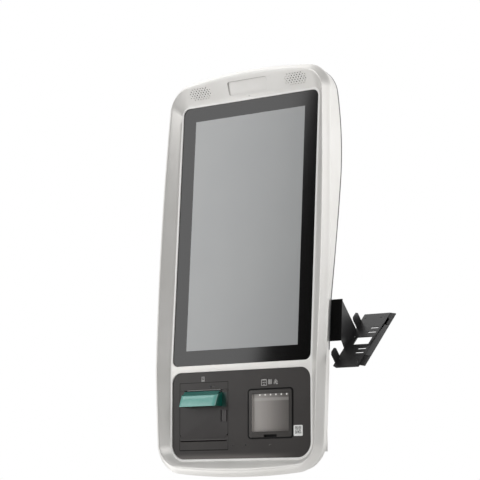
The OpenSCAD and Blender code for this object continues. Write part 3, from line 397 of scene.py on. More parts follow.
def speaker_holes():
    """Centres of a staggered field inside a stadium, split into the open middle and blind
    dimples."""
    pitch_u, pitch_v = 6.6, 4.3
    field_half, field_reach = 16.5, 10.2
    open_half, open_reach = 12.0, 7.0
    squeeze = 0.9
    row, col = np.meshgrid(np.arange(6), np.arange(-4, 5), indexing="ij")
    u = (col + 0.5 * (row % 2) - 0.25).ravel() * pitch_u
    v = (row - 2.5).ravel() * pitch_v
    held = np.hypot(np.maximum(np.abs(u) - field_half, 0), v * squeeze) < field_reach
    middle = np.hypot(np.maximum(np.abs(u) - open_half, 0), v) < open_reach
    centres = np.column_stack([u, v])
    return centres[held & middle], centres[held & ~middle]


def height_m(z):
    """Height in millimetres from the screen as metres from the bolt pattern."""
    return (z - mount_z) / 1000


def place_groove():
    """Groove of the camera place, with painted shade under its upper and left walls and a painted
    highlight at the other two."""
    made, start = finish("groove_painted_shade", Roughness=0.6)
    _, x, _, z = start.axes()
    half, high = place_size[0] / 1000, (place_size[1] + groove_in) / 1000
    # Painted shade on the upper and left walls, painted highlight on the lower and right walls.
    lit = (x * (0.5 / half) - (z - height_m(slope_z)) * (1 / high)).fade(-0.4, 0.4)
    lit.mix(tone(178, 176, 173), tone(236, 235, 232)).into("Base Color")
    return made


open_holes, blind_holes = speaker_holes()
bore_ring = plug_ring(bore_r, bore_r, bore_r, 4)
dimple_ring = plug_ring(dimple_r, dimple_r, dimple_r, 4)
cutters = []
for name, x in (("left", -speaker_x), ("right", speaker_x)):
    field = bpy.data.objects.new("speaker_field_" + name, shell.data.copy())
    bpy.context.collection.objects.link(field)
    inner_ring = plug_ring(*(field_size - field_gap))
    inside = plugs("inside", x, [(0, 0)], inner_ring, -through, through)
    around = plugs("around", x, [(0, 0)], plug_ring(*field_size), -through, through)
    bores = plugs("bores", x, open_holes, bore_ring, -through, through)
    dimples = plugs("dimples", x, blind_holes, dimple_ring, -through, dimple_deep)
    carve(field, inside, "INTERSECT")
    carve(field, bores)
    carve(field, dimples)
    carve(shell, around)
    cutters += [inside, around, bores, dimples]
    dress(field, white_shell)
    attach(field, "machine")
    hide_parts("speaker_grille_" + name)
camera_place = plugs("camera_place", 0.0, [(0, 0)], plug_ring(*place_size), -through, through)
pinhole_ring = plug_ring(pinhole_r, pinhole_r, pinhole_r, 5)
pinhole = plugs("pinhole", 0.0, [(0, pinhole_z - slope_z)], pinhole_ring, -through, through)
carve(shell, camera_place)
carve(shell, pinhole)
for tool in cutters + [camera_place, pinhole]:
    bpy.data.objects.remove(tool)
dress(shell, white_shell)
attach(shell, "machine")
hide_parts("front_frame")
dress(solids["camera_blank"], white_shell)
groove_rings = np.stack([plug_ring(*(place_size + d)) for d in (groove_out, groove_in)])
groove_depth = np.full(groove_rings.shape[:2], -groove_proud)
groove_points = np.stack([groove_rings[..., 0], groove_depth, groove_rings[..., 1]], -1)
place_line = lofted("place_line", on_slope(0.0, groove_points))
dress(place_line, place_groove())
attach(place_line, "machine")

# Edge of the lip: the flat of the moulding beside the glass and the panel, given a paler, less
# pearly finish as a painted highlight, so that it stands out as a pale line.
line_in, line_proud = 0.4, 0.06
line_sides = (line_in, lip_w - line_in)
lip_rings = np.stack([at_front(opening(d), lip_h + line_proud) for d in line_sides])
lip_line = lofted("lip_line", lip_rings)
lip_painted_highlight = grained("lip_painted_highlight", tone(238, 237, 235), tone(242, 241, 239), 0.42, Metallic=0.1)
dress(lip_line, lip_painted_highlight)
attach(lip_line, "machine")

# Bar between the glass and the lower panel: part of the same moulding, a low strip whose
# ends spread into the round corners of the glass above it and of the panel below it.
glass_low_r, panel_top_r = 13.0, 22.0


def divider_bar():
    """Across x, a section from the glass edge to the panel edge; near the ends each edge leaves
    its straight line on a quarter circle, so the two edges run into the frame's lip."""
    straight_x, curve_x, end_x = 142.4, 143.0, 165.9
    end = np.linspace(curve_x, end_x, 56)
    x = np.concatenate([-end[::-1], np.linspace(-straight_x, straight_x, 41), end])

    def edge(r):
        out = np.clip(np.abs(x) - (glass_half - r), 0, r)
        return r - np.sqrt(r * r - out * out)

    high, low = -glass_top + edge(glass_low_r), -panel_top - edge(panel_top_r)
    turn = np.radians(np.linspace(0, 90, 5))
    inset = np.concatenate([[0], lip_edge * (1 - np.cos(turn))])
    height = np.concatenate([[lip_seat], lip_h - lip_edge + lip_edge * np.sin(turn)])
    spread = np.linspace(0.15, 0.85, 9)
    z = np.concatenate([high[:, None] - inset, high[:, None] + (low - high)[:, None] * spread,
                        low[:, None] + inset[::-1]], 1)
    proud = np.concatenate([height, np.full(spread.size, lip_h), height[::-1]])
    return np.stack([np.broadcast_to(x[:, None], z.shape), face_y(z) - proud, z], -1)


bar = lofted("divider_bar", divider_bar())
dress(bar, white_shell)
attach(bar, "machine")

# Loudspeakers and microphone: black paper cones in steel baskets behind the slope, and a
# small alloy capsule behind the pinhole, all clipped to the frame's inside.
black_rubber = grained("black_rubber", tone(28, 28, 28), tone(36, 35, 34), 0.75, grain=2500.0,
                       depth=0.00003)
alloy = grained("alloy", tone(176, 178, 182), tone(190, 191, 194), 0.38, stretch=(1, 1, 0.02),
                Metallic=1.0)
for node in ("speaker_left", "speaker_right"):
    dress(solids[node], black_rubber)
dress(solids["microphone"], alloy)

# Cover glass: 3 mm toughened glass bonded behind the lip. Its rear face is printed near
# black round the edge, and the unlit display shows grey through the clear middle.
picture_w, picture_h, print_blur = 0.1339, 0.23805, 0.0003


def depth_m(y):
    """Depth in millimetres from the screen as metres from the bolt pattern."""
    return (y - mount_y) / 1000


def cover_glass():
    """Border and picture told apart by the distance from the picture's edge in the leaning
    plane."""
    made, start = finish("cover_glass", IOR=1.5, Specular_IOR_Level=0.4, Coat_IOR=1.6,
                         Coat_Roughness=0.25)
    where, x, y, z = start.axes()
    up = (z - height_m(0)) * math.cos(tilt) + (y - depth_m(0)) * math.sin(tilt)
    clear = (1 - abs(x).fade(picture_w - print_blur, picture_w + print_blur)) \
        * (1 - abs(up).fade(picture_h - print_blur, picture_h + print_blur))
    haze = where.noise(6.0, 2.0).fade(0.2, 0.8)
    grey = haze.mix(tone(135, 137, 138), tone(139, 141, 141))
    black = haze.mix(tone(9, 8, 8), tone(11, 10, 10))
    clear.mix(black, grey).into("Base Color")
    clear.into("Coat Weight")
    smear = where.noise(40.0, 5.0)
    (0.07 + 0.02 * smear + 0.17 * clear).into("Roughness")
    return made


dress(solids["touch_glass"], cover_glass())

# Display and electronics: a display panel in a pressed steel tray, with the mainboard, its
# finned heat sink and the power supply screwed to the tray's back.


def circuit(name, low, high):
    """Solder mask with a fine right-angled track pattern in a second tone."""
    made, start = finish(name, Roughness=0.4, Coat_Weight=0.3)
    where = start.axes()[0]
    turned = start.node("Mapping", {}, {"Vector": where, "Rotation": (math.pi / 2, 0, 0)})
    lines = {"Vector": turned, "Scale": 120.0, "Mortar Size": 0.03}
    tracks = start.node("TexBrick", {"offset": 0.37}, lines, out="Fac")
    tracks.mix(low, high).into("Base Color")
    tracks.dent(0.4, 0.00005)
    return made


steel = grained("bare_steel", tone(165, 166, 168), tone(182, 182, 183), 0.34, grain=700.0,
                stretch=(1, 1, 0.05), depth=0.00002, Metallic=1.0)
board = circuit("board", tone(16, 74, 46), tone(44, 112, 70))
grey_plastic = grained("grey_plastic", tone(96, 95, 93), tone(104, 103, 101), 0.5)
for node in ("display_chassis", "power_supply"):
    dress(solids[node], steel)
for node in ("mainboard", "button_board"):
    dress(solids[node], board)
dress(solids["heat_sink"], alloy)
dress(solids["lcd_panel"], grey_plastic)

# Lower panel: a flat moulding in satin charcoal, clipped behind the lip, with openings for
# the printer and the scanner and two pinhead indicators.
charcoal = grained("dark_panel", tone(45, 41, 39), tone(50, 46, 44), 0.34, grain=1800.0,
                   depth=0.00003, Specular_IOR_Level=0.45)


def charcoal_painted_light(name, low, high, light_tone, share):
    """Panel charcoal with a second tone painted in as light; share gives how much of it from x, z
    and the cloud noise.
    """
    made, start = finish(name, Specular_IOR_Level=0.45)
    where, x, _, z = start.axes()
    fine = where.noise(1800.0, 3.0)
    cloud = where.noise(14.0, 4.0)
    plain = cloud.fade(0.3, 0.7).mix(low, high)
    share(x, z, cloud).mix(plain, light_tone).into("Base Color")
    (0.34 + 0.1 * (fine - 0.5)).into("Roughness")
    fine.dent(0.6, 0.00003)
    return made


def lower_edge_painted_light(x, z, cloud):
    """1 along the panel's lower edge, where the light it catches is painted on as a paler tone,
    less towards the right.
    """
    edge, edge_h, waver = height_m(-panel_low), 0.013, 0.003
    fade_x = (0.02, 0.16)
    above = (z + waver * (cloud - 0.5)).fade(edge, edge + edge_h)
    return (1 - above) * (1 - x.fade(*fade_x))


def eased(node, width, material):
    """Copy of a solid, merged, its edges rounded by a width in millimetres; it stands for the
    solid."""
    made = bpy.data.objects.new(node + "_eased", solids[node].data.copy())
    bpy.context.collection.objects.link(made)
    form = bmesh.new()
    form.from_mesh(made.data)
    bmesh.ops.remove_doubles(form, verts=form.verts, dist=0.000002)
    bmesh.ops.dissolve_limit(form, angle_limit=math.radians(1), verts=form.verts, edges=form.edges)
    form.to_mesh(made.data)
    form.free()
    made.data.shade_smooth()
    made.data.set_sharp_from_angle(angle=math.radians(30))
    edges = made.modifiers.new("edges", "BEVEL")
    edges.width = width / 1000
    edges.segments = 2
    edges.limit_method = "ANGLE"
    edges.angle_limit = math.radians(40)
    edges.harden_normals = True
    dress(made, material)
    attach(made, carrier[node])
    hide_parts(node)
    return made


# Painted highlight along the panel's lower edge.
panel_charcoal = charcoal_painted_light("panel_charcoal", tone(45, 41, 39), tone(50, 46, 44),
                                 tone(104, 99, 96), lower_edge_painted_light)
eased("lower_panel", 0.35, panel_charcoal)
smoked = grained("smoked_lens", tone(20, 19, 19), tone(26, 25, 24), 0.2)
dress(solids["indicator_lenses"], smoked)

# Signs on the panel: plain pictures screen printed in grey ink, a slip over the printer and
# three reading signs over the scanner, one faint tick below it.
slip_x, slip_z = -90.1, -294.0
card_x, bars_x, cells_x, read_z = 57.0, 67.0, 80.2, -307.0
tick_x, tick_z = 68.6, -426.5
ink_t = 0.06


def prism_faces(k, base=0):
    """Sides and ends of a prism between two rings of k points, numbered from base."""
    sides = (base + grid_faces(2, k, False, True)).tolist()
    return sides + [[base + i for i in range(k)], [base + k + i for i in range(k)]]


def prints(name, bars, front, thick, material, body="machine"):
    """Thin printed bars: each row is x0, x1, z0, z1, made a box of one ink thickness on the
    face."""
    b = np.asarray(bars, float)
    x = b[:, [0, 1, 1, 0, 0, 1, 1, 0]]
    z = b[:, [2, 2, 3, 3, 2, 2, 3, 3]]
    y = np.broadcast_to(np.repeat([front, front - thick], 4), x.shape)
    faces = [face for i in range(len(b)) for face in prism_faces(4, 8 * i)]
    made = piece(name, np.stack([x, y, z], -1).reshape(-1, 3), faces, sharp=20)
    dress(made, material)
    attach(made, body)
    return made


def frame_bars(x0, x1, z0, z1, t):
    """Four bars that outline a rectangle."""
    return [(x0, x1, z0, z0 + t), (x0, x1, z1 - t, z1),
            (x0, x0 + t, z0, z1), (x1 - t, x1, z0, z1)]


def shifted(bars, x, z):
    """The bars moved to a place on the panel."""
    return [(x0 + x, x1 + x, z0 + z, z1 + z) for x0, x1, z0, z1 in bars]


slip = frame_bars(-3.5, 3.5, -3.6, 3.6, 0.9)
slip += [(-1.9, 1.7, 1.0, 1.8), (-1.9, 1.7, -1.0, -0.2)]
slip += [(x - 0.8, x + 0.8, -6.2, -3.6) for x in (-2.7, 0.0, 2.7)]
card = frame_bars(-6.6, 6.6, -6.6, 6.6, 1.0)
card += [(-6.6, 6.6, 3.6, 6.6), (-3.0, -1.0, -1.6, 0.4), (1.4, 3.4, -1.6, 0.4)]
card += [(-2.0, 2.4, -4.6, -3.8)]
bar_starts = np.cumsum([0, 1.5, 1.1, 1.9, 1.2, 1.6])
bar_widths = (0.9, 0.5, 1.1, 0.5, 0.9, 0.8)
bars = [(x, x + w, -4.4, 5.0) for x, w in zip(bar_starts, bar_widths)]
dark_cells = np.random.default_rng(5).random((6, 6)) > 0.45
cells = [(1.55 * i, 1.55 * i + 1.4, 1.6 * j - 4.6, 1.6 * j - 3.15)
         for i, j in np.argwhere(dark_cells)]
signs = shifted(slip, slip_x, slip_z) + shifted(card, card_x, read_z)
signs += shifted(bars, bars_x, read_z) + shifted(cells, cells_x, read_z)
ink = grained("printed_ink", tone(176, 174, 172), tone(192, 190, 188), 0.6)
prints("panel_signs", signs, panel_y, ink_t, ink)
tick = shifted([(0.0, 5.2, -0.7, 0.0), (0.0, 0.8, -2.9, 0.0)], tick_x, tick_z)
faint_ink = grained("faint_ink", tone(96, 93, 91), tone(104, 101, 99), 0.6)
prints("tick_sign", tick, panel_y, ink_t, faint_ink)

# Code label: a white paper sticker with a plain matrix of dark cells printed on it, which
# stands for any code and carries none.
label_x, label_z, label_t, code_t = 135.95, -400.9, 0.3, 0.04
count, cell, corner = 19, 0.72, 7
paper = grained("label_paper", tone(226, 226, 224), tone(234, 234, 232), 0.65, grain=900.0,
                depth=0.00003)
dress(solids["code_label"], paper)
marks = np.random.default_rng(11).random((count, count)) > 0.5
i, j = np.indices(marks.shape)
for a, b in ((0, 0), (0, count - corner), (count - corner, count - corner)):
    near = np.maximum(abs(i - a - corner // 2), abs(j - b - corner // 2))
    marks = np.where(near < 5, (near != 2) & (near < 4), marks)
code = [(cell * a, cell * (a + 1), cell * b, cell * (b + 1)) for a, b in np.argwhere(marks)]
code = shifted(code, label_x - count * cell / 2, label_z - count * cell / 2)
code_ink = grained("code_ink", tone(40, 40, 40), tone(48, 48, 47), 0.6)
prints("code_cells", code, panel_y - label_t, code_t, code_ink)

# Receipt printer: a charcoal tub behind the panel and a door hinged low in it. The door
# carries the rubber platen, the lever and the clear paper mouth; gears on the left feed it.
bay = (-147.9, -28.6, -435.5, -301.5)
slot_low, slot_high = -323.0, -317.6
seam_t, slot_t = 0.05, 0.3
eased("printer_frame", 0.3, charcoal)
# Black line round the printer bay: painted shade in the gap between the bay and the panel.
seam_painted_shade = grained("seam_painted_shade", tone(26, 24, 23), tone(30, 28, 27), 0.7, Specular_IOR_Level=0.2)
seam = frame_bars(*bay, 1.0) + [(bay[0], bay[1], bay[2] - 0.9, bay[2])]
prints("printer_seam", seam, panel_y, seam_t, seam_painted_shade)


def mouth_painted_glow(x, z, _):
    """1 on the door beside the right end of the mouth, where the green light that falls through it
    is painted on.
    """
    glow_start, glow_end, glow_foot = (-0.0450, -0.0415), (-0.0400, -0.0285), (-0.274, -0.268)
    return x.fade(*glow_start) * (1 - x.fade(*glow_end)) * z.fade(*glow_foot)


# Painted green light on the door beside the mouth.
door_charcoal = charcoal_painted_light("door_charcoal", tone(45, 41, 40), tone(50, 46, 45),
                                tone(28, 66, 60), mouth_painted_glow)
eased("printer_door", 0.3, door_charcoal)
lever_grey = grained("lever_grey", tone(58, 54, 53), tone(63, 59, 58), 0.34)
eased("door_latch", 0.3, lever_grey)
slot_ends = [(x0, x1, slot_low, slot_high) for x0, x1 in ((-146.8, -134.5), (-44.0, -29.8))]
prints("slot_ends", slot_ends, panel_y, slot_t, charcoal, body="door")
for node in ("door_pin", "latch_pin", "platen_shaft", "idler_stud", "feed_motor", "head_bracket"):
    dress(solids[node], steel)
bright_steel = grained("tear_edge", tone(216, 216, 215), tone(226, 226, 225), 0.3,
                       stretch=(0.05, 1, 1), Metallic=0.2)
dress(solids["tear_bar"], bright_steel)
dress(solids["platen_roller"], black_rubber)
nylon = grained("white_gear", tone(222, 219, 208), tone(229, 227, 217), 0.45)
for node in ("platen_gear", "idler_gear", "motor_pinion"):
    dress(solids[node], nylon)
dress(solids["print_head"], alloy)
dress(solids["cutter_unit"], grey_plastic)
button_grey = grained("button_grey", tone(44, 42, 48), tone(50, 48, 54), 0.4)
dress(solids["feed_button"], button_grey)
dress(solids["printer_led"], smoked)

# Paper mouth: a hood of clear teal polycarbonate, moulded in one piece with round front
# corners and a floor, welded to the door. A sloping roof leaves the paper a slot at the door.
mouth_x, mouth_low, mouth_tip, mouth_root = -89.75, -350.0, -328.0, -321.5
mouth_front = panel_y - 24.0
mouth_lean, mouth_wall = 9.0, 3.0
floor_half, floor_deep, floor_cut = 45.0, 22.5, 6.5
roof_t = 1.6


def mouth_hood():
    """A wall section, up its outer face, over its round top edge and down its inner face, carried
    along a U in plan with round corners; the top falls and the wall leans back with the distance
    from the door."""
    half, taper, r = 47.0, 2.0, 7.0
    turn = np.linspace(0, np.pi / 2, 14)
    front = mouth_front - panel_y
    side_y = np.linspace(0, 1, 12) * (front + r)
    side_x = half - taper * side_y / front
    bend_x = half - taper - r + r * np.cos(turn)
    bend_y = front + r - r * np.sin(turn)
    flat_x = np.linspace(half - taper - r, taper + r - half, 30)[1:-1]
    right = np.column_stack([np.concatenate([side_x[:-1], bend_x]),
                             np.concatenate([side_y[:-1], bend_y])])
    left = right[::-1] * [-1, 1]
    flat = np.column_stack([flat_x, np.full(flat_x.size, front)])
    path = np.concatenate([right, flat, left])
    along = np.gradient(path, axis=0)
    inward = np.column_stack([along[:, 1], -along[:, 0]])
    inward /= np.linalg.norm(inward, axis=1, keepdims=True)
    inward *= np.sign((inward * -path).sum(1, keepdims=True))
    over = np.linspace(0, np.pi, 7)
    edge_r = mouth_wall / 2
    depth = np.concatenate([[0.8, 0.0, 0.0], edge_r * (1 - np.cos(over)), [mouth_wall] * 2])
    rise = np.concatenate([[0.0, 0.04, 0.6], np.ones(over.size), [0.6, 0.0]])
    lift = np.concatenate([[0, 0, 0], edge_r * (np.sin(over) - 1), [0, 0]])
    plan = path[:, None, :] + inward[:, None, :] * depth[None, :, None]
    top = mouth_root + (mouth_tip - mouth_root) * np.clip(path[:, 1] / front, 0, 1)
    z = mouth_low + (top - mouth_low)[:, None] * rise[None, :] + lift[None, :]
    lean = mouth_lean * (path[:, 1] / front)[:, None] * rise[None, :]
    return np.stack([plan[..., 0] + mouth_x, plan[..., 1] + panel_y + lean, z], -1)


def mouth_floor():
    """Floor plate with its front corners cut off, as two rings of six points."""
    cut_x, cut_y = floor_half - floor_cut, floor_cut - floor_deep
    x = np.array([-floor_half, floor_half, floor_half, cut_x, -cut_x, -floor_half]) + mouth_x
    y = np.array([0, 0, cut_y, -floor_deep, -floor_deep, cut_y]) + panel_y
    levels = (mouth_low + 0.05, mouth_low + mouth_wall)
    return np.concatenate([np.column_stack([x, y, np.full(6, z)]) for z in levels])


def mouth_roof():
    """Roof plate rising from the hood's front edge towards the door, as two rings of four."""
    tip_half, tip_y, tip_z = 41.0, 1.4, -1.6
    root_half, root_y, root_z = 43.6, 11.0, 8.4
    x = np.array([-tip_half, tip_half, root_half, -root_half]) + mouth_x
    y = np.array([tip_y, tip_y, root_y, root_y]) + mouth_front + mouth_lean
    z = np.array([tip_z, tip_z, root_z, root_z]) + mouth_tip
    return np.concatenate([np.column_stack([x, y, z - drop]) for drop in (roof_t, 0.0)])


def teal_clear():
    """Clear teal plastic: a pale tone painted on as the light the front wall catches, a deep one
    painted on as shade towards the door.
    """
    pale_from, pale_to, ripple = 0.0008, 0.0052, 0.0006
    made, start = finish("teal_clear", IOR=1.58, Coat_Weight=0.4, Coat_Roughness=0.12)
    where, _, y, z = start.axes()
    swirl = where.noise(60.0, 3.0)
    front = depth_m(mouth_front)
    leant = y - mouth_lean / (mouth_tip - mouth_low) * (z - height_m(mouth_low))
    pale = 1 - (leant + ripple * (swirl - 0.5)).fade(front + pale_from, front + pale_to)
    vary = swirl.fade(0.3, 0.7)
    deep = vary.mix(tone(6, 72, 62), tone(12, 84, 72))
    light = vary.mix(tone(104, 170, 160), tone(112, 178, 168))
    # Painted light on the front wall, painted shade towards the door; the teal itself is the
    # plastic's own.
    pale.mix(deep, light).into("Base Color")
    (0.22 + 0.08 * swirl).into("Roughness")
    return made


hood_points = mouth_hood()
rows, cols = hood_points.shape[:2]
hood_faces = grid_faces(rows, cols, False, True).tolist()
hood_faces += [list(range(cols)), list(range((rows - 1) * cols, rows * cols))]
hood_faces += prism_faces(6, rows * cols)
hood_points = np.concatenate([hood_points.reshape(-1, 3), mouth_floor()])
hood = piece("paper_hood", hood_points, hood_faces)
dress(hood, teal_clear())
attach(hood, "door")
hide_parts("paper_mouth")
# The roof's teal is the plastic's own; its darkness is painted shade of the dark slot seen through
# it.
roof = piece("hood_roof", mouth_roof(), prism_faces(4))
dress(roof, grained("teal_roof_painted_shade", tone(14, 92, 84), tone(20, 102, 93), 0.3, depth=0.00001))
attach(roof, "door")

# Code scanner: a glossy face pushed into the panel with a notch below to lift it out, a
# tinted window let into it, and behind the window a bar of six white lamps and a camera.
gap_shade_in, gap_shade_r = 3.0, 6.0
notch_half, notch_low, notch_high = 14.8, 2.0, 6.6
notch_deep, notch_t = 2.0, 0.08
window_rim, lit_wall_w, lit_wall_back, lit_wall_deep = 0.0018, 0.4, 3.0, 3.7
face_min, face_max = np.array(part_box("scanner_face")) * 1000
face_x, _, face_z = (face_min + face_max) / 2
face_z += mount_z
face_half, _, face_high = (face_max - face_min) / 2 - gap_shade_in
window_min, window_max = np.array(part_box("scanner_window"))
win_x0, _, win_z0 = window_min + window_rim
win_x1, _, win_z1 = window_max - window_rim


def gap_shade_ring(d, y):
    """Ring round the scanner's face, widened by d, at a depth."""
    ring = plug_ring(face_half + d, face_high + d, gap_shade_r + d)
    return np.column_stack([ring[:, 0] + face_x, np.full(len(ring), y), ring[:, 1] + face_z])


def smoked_window_painted_light():
    """Smoked acrylic with faint upright moulding lines; paler to the left as a painted reflection,
    with the glow of six lamps painted along its top and a paler band of their light painted under
    them."""
    lamp_pitch, lamp_drop = 0.146 * (win_x1 - win_x0), 0.0021
    core, rim, first_lamp = 0.0000012, 0.0000042, (0.0074, 0.0075)
    band_foot, band_top = (0.0145, 0.0125), (0.0085, 0.0065)
    made, start = finish("scanner_glass", IOR=1.49, Alpha=0.9, Emission_Strength=1.0)
    _, x, _, z = start.axes()
    fine = {"W": x, "Scale": 120.0, "Detail": 2.0}
    lines = start.node("TexNoise", {"noise_dimensions": "1D"}, fine)
    across = (x + 0.004 * (lines - 0.5)).fade(win_x0, win_x1)
    band = z.fade(*(win_z1 - d for d in band_foot)) - z.fade(*(win_z1 - d for d in band_top))
    # Painted reflection paler to the left, and a painted band of lamp light under the top edge.
    plain = across.mix(tone(172, 167, 163), tone(106, 102, 99))
    (0.22 * band).mix(plain, tone(215, 212, 208)).into("Base Color")
    turn = start.math("FRACT", (x - win_x0) * (1 / lamp_pitch) - 0.8)
    along = (turn - 0.5) * lamp_pitch
    off = z - (win_z1 - lamp_drop)
    near = 1 - (along * along + off * off).fade(core, rim)
    # Painted glow of the lamps behind the window, given off by the window itself.
    lamps = near * x.fade(*(win_x0 + d for d in first_lamp))
    lamps.mix((0, 0, 0, 1), (0.62, 0.61, 0.59, 1)).into("Emission Color")
    (0.16 + 0.06 * lines).into("Roughness")
    return made


def lamp_bar():
    """White circuit bar whose round lamps under it shine."""
    made, start = finish("lamp_bar", Emission_Strength=1.0)
    where, _, _, z = start.axes()
    lamp_root = (-0.24915, -0.2489)
    lit = 1 - z.fade(*lamp_root)
    grit = where.noise(900.0, 2.0)
    grit.fade(0.3, 0.7).mix(tone(150, 150, 146), tone(160, 160, 156)).into("Base Color")
    lit.mix((0, 0, 0, 1), (1.2, 1.2, 1.15, 1)).into("Emission Color")
    (0.4 + 0.1 * grit).into("Roughness")
    return made


gloss = grained("dark_gloss", tone(56, 53, 51), tone(60, 57, 55), 0.2, grain=300.0, depth=0.000005)
eased("scanner_face", 0.5, gloss)
# A black ring in the gap round the scanner's face: painted shade.
shade_black = grained("shade_black", tone(9, 8, 8), tone(13, 12, 12), 0.7, Specular_IOR_Level=0.2)
gap_shade_steps = ((1.5, 0.0), (1.1, 1.25), (-1.3, 1.25), (-1.7, 0.9))
gap_shade_rings = np.stack([gap_shade_ring(d, panel_y - proud) for d, proud in gap_shade_steps])
gap_shade = lofted("scanner_gap_shade", gap_shade_rings, closed=True)
dress(gap_shade, shade_black)
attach(gap_shade, "machine")
# A black sheet at the back of the notch: painted shade in the recess.
notch = [(-notch_half, notch_half, notch_low - face_high, notch_high - face_high)]
prints("notch_shade", shifted(notch, face_x, face_z), panel_y + notch_deep, notch_t, shade_black)
dress(solids["scanner_window"], smoked_window_painted_light())
dress(solids["scanner_leds"], lamp_bar())
# A pale grey strip on the window's left inner wall: painted light where that wall of the recess is
# lit.
lit_wall_grey = grained("lit_wall_grey", tone(160, 156, 152), tone(166, 162, 158), 0.5)
lit_wall = [(1000 * win_x0, 1000 * win_x0 + lit_wall_w, 1000 * win_z0, 1000 * win_z1)]
lit_wall = shifted(lit_wall, 0.0, mount_z)
prints("window_lit_wall", lit_wall, panel_y + lit_wall_back, lit_wall_deep, lit_wall_grey)
dress(solids["scanner_housing"], grey_plastic)
dress(solids["scanner_engine"], gloss)

# Back covers and housing: the upper cover is grey and the folded box pale powder-coated
# steel, the lower cover is white ABS; pan-head screws hold them, a black plate takes the arm.
grey_coat = grained("grey_coat", tone(92, 92, 94), tone(100, 100, 102), 0.55, grain=900.0,
                    depth=0.00008)
pale_coat = grained("pale_coat", tone(196, 195, 192), tone(203, 202, 199), 0.5, grain=900.0,
                    depth=0.00008)
black_coat = grained("black_coat", tone(17, 16, 17), tone(22, 21, 22), 0.42, grain=1000.0,
                     depth=0.00005, Specular_IOR_Level=0.5)
eased("rear_cover_upper", 0.5, grey_coat)
eased("rear_cover_lower", 0.5, white_shell)
eased("rear_housing", 0.5, pale_coat)
eased("vesa_plate", 0.4, black_coat)
for node in ("cover_screws", "housing_screws", "cradle_screws"):
    eased(node, 0.5, steel)

# Terminal cradle: 2 mm steel, laser cut and folded, black powder coat. Its arm is screwed to
# the cover, a gusset turns forward, and the sloping tray has lugs, slots and a cable window.
# On the arm, inside the slits and in the fold of the outer strip the black is painted darker as
# shade, and made matt.
cradle_x, tray_w, tray_lead = 224.4, 58.0, 6.0
tray_slope = math.radians(42.7)
tray_y, tray_z = panel_y - 13.5, -panel_top - 1.86
slit_w, slit_ease, slits = 1.6, 0.2, (31.0, 126.0)
fold_in, fold_out = 1.9, 0.5
# Painted shade: a darker black on the arm, in the slits and in the fold of the outer strip.
matt_black_painted_shade = grained("matt_black_painted_shade", tone(5, 5, 5), tone(8, 8, 8), 0.8, Specular_IOR_Level=0.15)
cradle = eased("terminal_cradle", 0.5, black_coat)
cradle.data.materials.append(matt_black_painted_shade)
centres = np.empty((len(cradle.data.polygons), 3), np.float32)
cradle.data.polygons.foreach_get("center", centres.ravel())
x, y, z = (centres.astype(float) * 1000 + [0.0, mount_y, mount_z]).T
up_slope = (y - tray_y) * math.cos(tray_slope) + (z - tray_z) * math.sin(tray_slope)
off_slit = [abs(up_slope + tray_lead - s - slit_w / 2) for s in slits]
in_slit = np.min(off_slit, axis=0) < slit_w / 2 + slit_ease
on_arm = x < cradle_x - 0.5
past_tray = x - cradle_x - tray_w
in_strip = (past_tray > -fold_in) & (in_slit | (past_tray < -fold_out))
cradle.data.polygons.foreach_set("material_index", (on_arm | in_strip).astype(np.int32))

# Sockets in the housing floor: mains inlet and rocker switch in black moulded frames, a
# shielded network port and two shielded USB ports.
black_plastic = grained("socket_black", tone(34, 33, 33), tone(40, 39, 39), 0.5)
for node in ("power_inlet", "switch_frame"):
    dress(solids[node], black_plastic)
dress(solids["power_switch"], gloss)
for node in ("lan_port", "usb_ports"):
    dress(solids[node], steel)

# Studio: a pale floor well below the machine, a broad light at the front left that the glass
# and the shell reflect, fills at both sides, and lights behind right, overhead, over the front
# and near the floor.
floor_half_w, floor_z = 6.0, -1.15
floor_corners = [(floor_half_w * x, floor_half_w * y, floor_z)
                 for x, y in ((-1, -1), (1, -1), (1, 1), (-1, 1))]
studio_floor = bpy.data.meshes.new("studio_floor")
studio_floor.from_pydata(floor_corners, [], [(0, 1, 2, 3)])
ground = bpy.data.objects.new("studio_floor", studio_floor)
bpy.context.collection.objects.link(ground)
dress(ground, grained("pale_floor", tone(232, 232, 231), tone(236, 236, 235), 0.7, grain=200.0,
                      Emission_Color=(1, 1, 1, 1), Emission_Strength=0.16))


def softbox(name, place, aim, size, watts, roll=0.0):
    """Rectangular light at a place, turned to face a point and rolled by degrees about its
    beam."""
    lamp = bpy.data.lights.new(name, "AREA")
    lamp.shape = "RECTANGLE"
    lamp.size, lamp.size_y = size
    lamp.energy = watts
    made = bpy.data.objects.new(name, lamp)
    bpy.context.collection.objects.link(made)
    ahead = np.array(aim, float) - np.array(place, float)
    lift = math.atan2(ahead[2], math.hypot(ahead[0], ahead[1]))
    facing = Euler((math.pi / 2 + lift, 0, math.atan2(-ahead[0], ahead[1]))).to_matrix()
    made.rotation_euler = (facing @ Euler((0, 0, math.radians(roll))).to_matrix()).to_euler()
    made.location = place


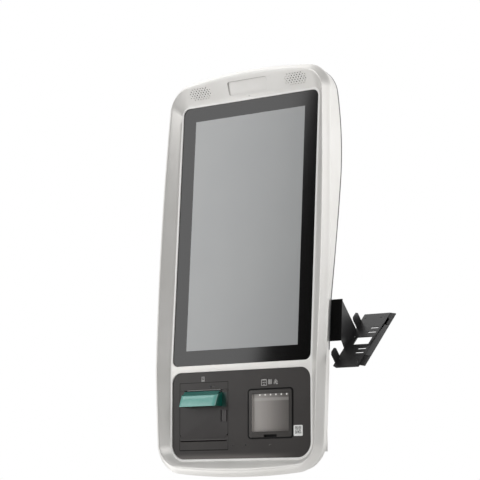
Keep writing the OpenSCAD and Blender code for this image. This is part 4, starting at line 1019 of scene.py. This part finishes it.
screen_middle = (0, 0, 0.1)
softbox("left_light", (-1.88, -1.979, 0.7), screen_middle, (1.034, 1.9), 19, roll=-5.0)
softbox("left_fill", (-2.4, -0.5, 0.5), screen_middle, (1.2, 2.0), 1.5)
softbox("overhead", (-1.3, 0.3, 2.0), (0, 0, 0), (2.0, 1.6), 9)
softbox("front_top", (0.2, -1.2, 1.7), (0, 0, 0), (0.9, 0.7), 5)
softbox("right_fill", (2.25, -0.95, 1.0), screen_middle, (1.3, 1.5), 16)
softbox("right_light", (1.9, 1.5, 0.8), screen_middle, (1.8, 2.2), 13)
softbox("floor_light", (-0.9, -0.4, -1.1), (-0.3, -0.1, 0), (1.6, 1.6), 10)

# Surroundings: white where the camera looks and where the back is mirrored, dim elsewhere, so
# that the lights alone shape the front.
plain_light, mirror_light = 0.32, 0.06
world = bpy.data.worlds.new("studio")
bpy.context.scene.world = world
world.use_nodes = True
sky = Socket(world.node_tree)
toward = sky.node("TexCoord", {}, {}, out="Generated")
behind = sky.node("SeparateXYZ", {}, {"Vector": toward}, out="Y").fade(-0.1, 0.15)
seen = sky.node("LightPath", {}, {}, out="Is Camera Ray")
gleam = sky.node("LightPath", {}, {}, out="Is Glossy Ray")
clear_ray = sky.node("LightPath", {}, {}, out="Is Transmission Ray")
shown = sky.math("MINIMUM", seen + (gleam + clear_ray) * behind, 1.0)
strength = plain_light - (plain_light - mirror_light) * gleam
dim = sky.node("Background", {}, {"Color": (1, 1, 1, 1), "Strength": strength})
white = sky.node("Background", {}, {"Color": (1, 1, 1, 1), "Strength": 1.0})
blend = sky.node("MixShader", {}, {0: shown, 1: dim, 2: white})
world.node_tree.links.new(blend.link, world.node_tree.nodes["World Output"].inputs["Surface"])

# Camera: a long lens without shift, its place and turn solved from the four corners of the
# picture area, so that the part stands as photographed.
view = bpy.data.cameras.new("photo_view")
view.lens = 132.82
view.sensor_width = 36.0
view.sensor_fit = "HORIZONTAL"
camera = bpy.data.objects.new("photo_view", view)
bpy.context.collection.objects.link(camera)
camera.location = (2.007262, -2.913234, -0.464805)
camera.rotation_euler = (math.radians(98.549), 0.0, math.radians(35.353))
bpy.context.scene.camera = camera
bpy.context.scene.view_settings.view_transform = "Standard"
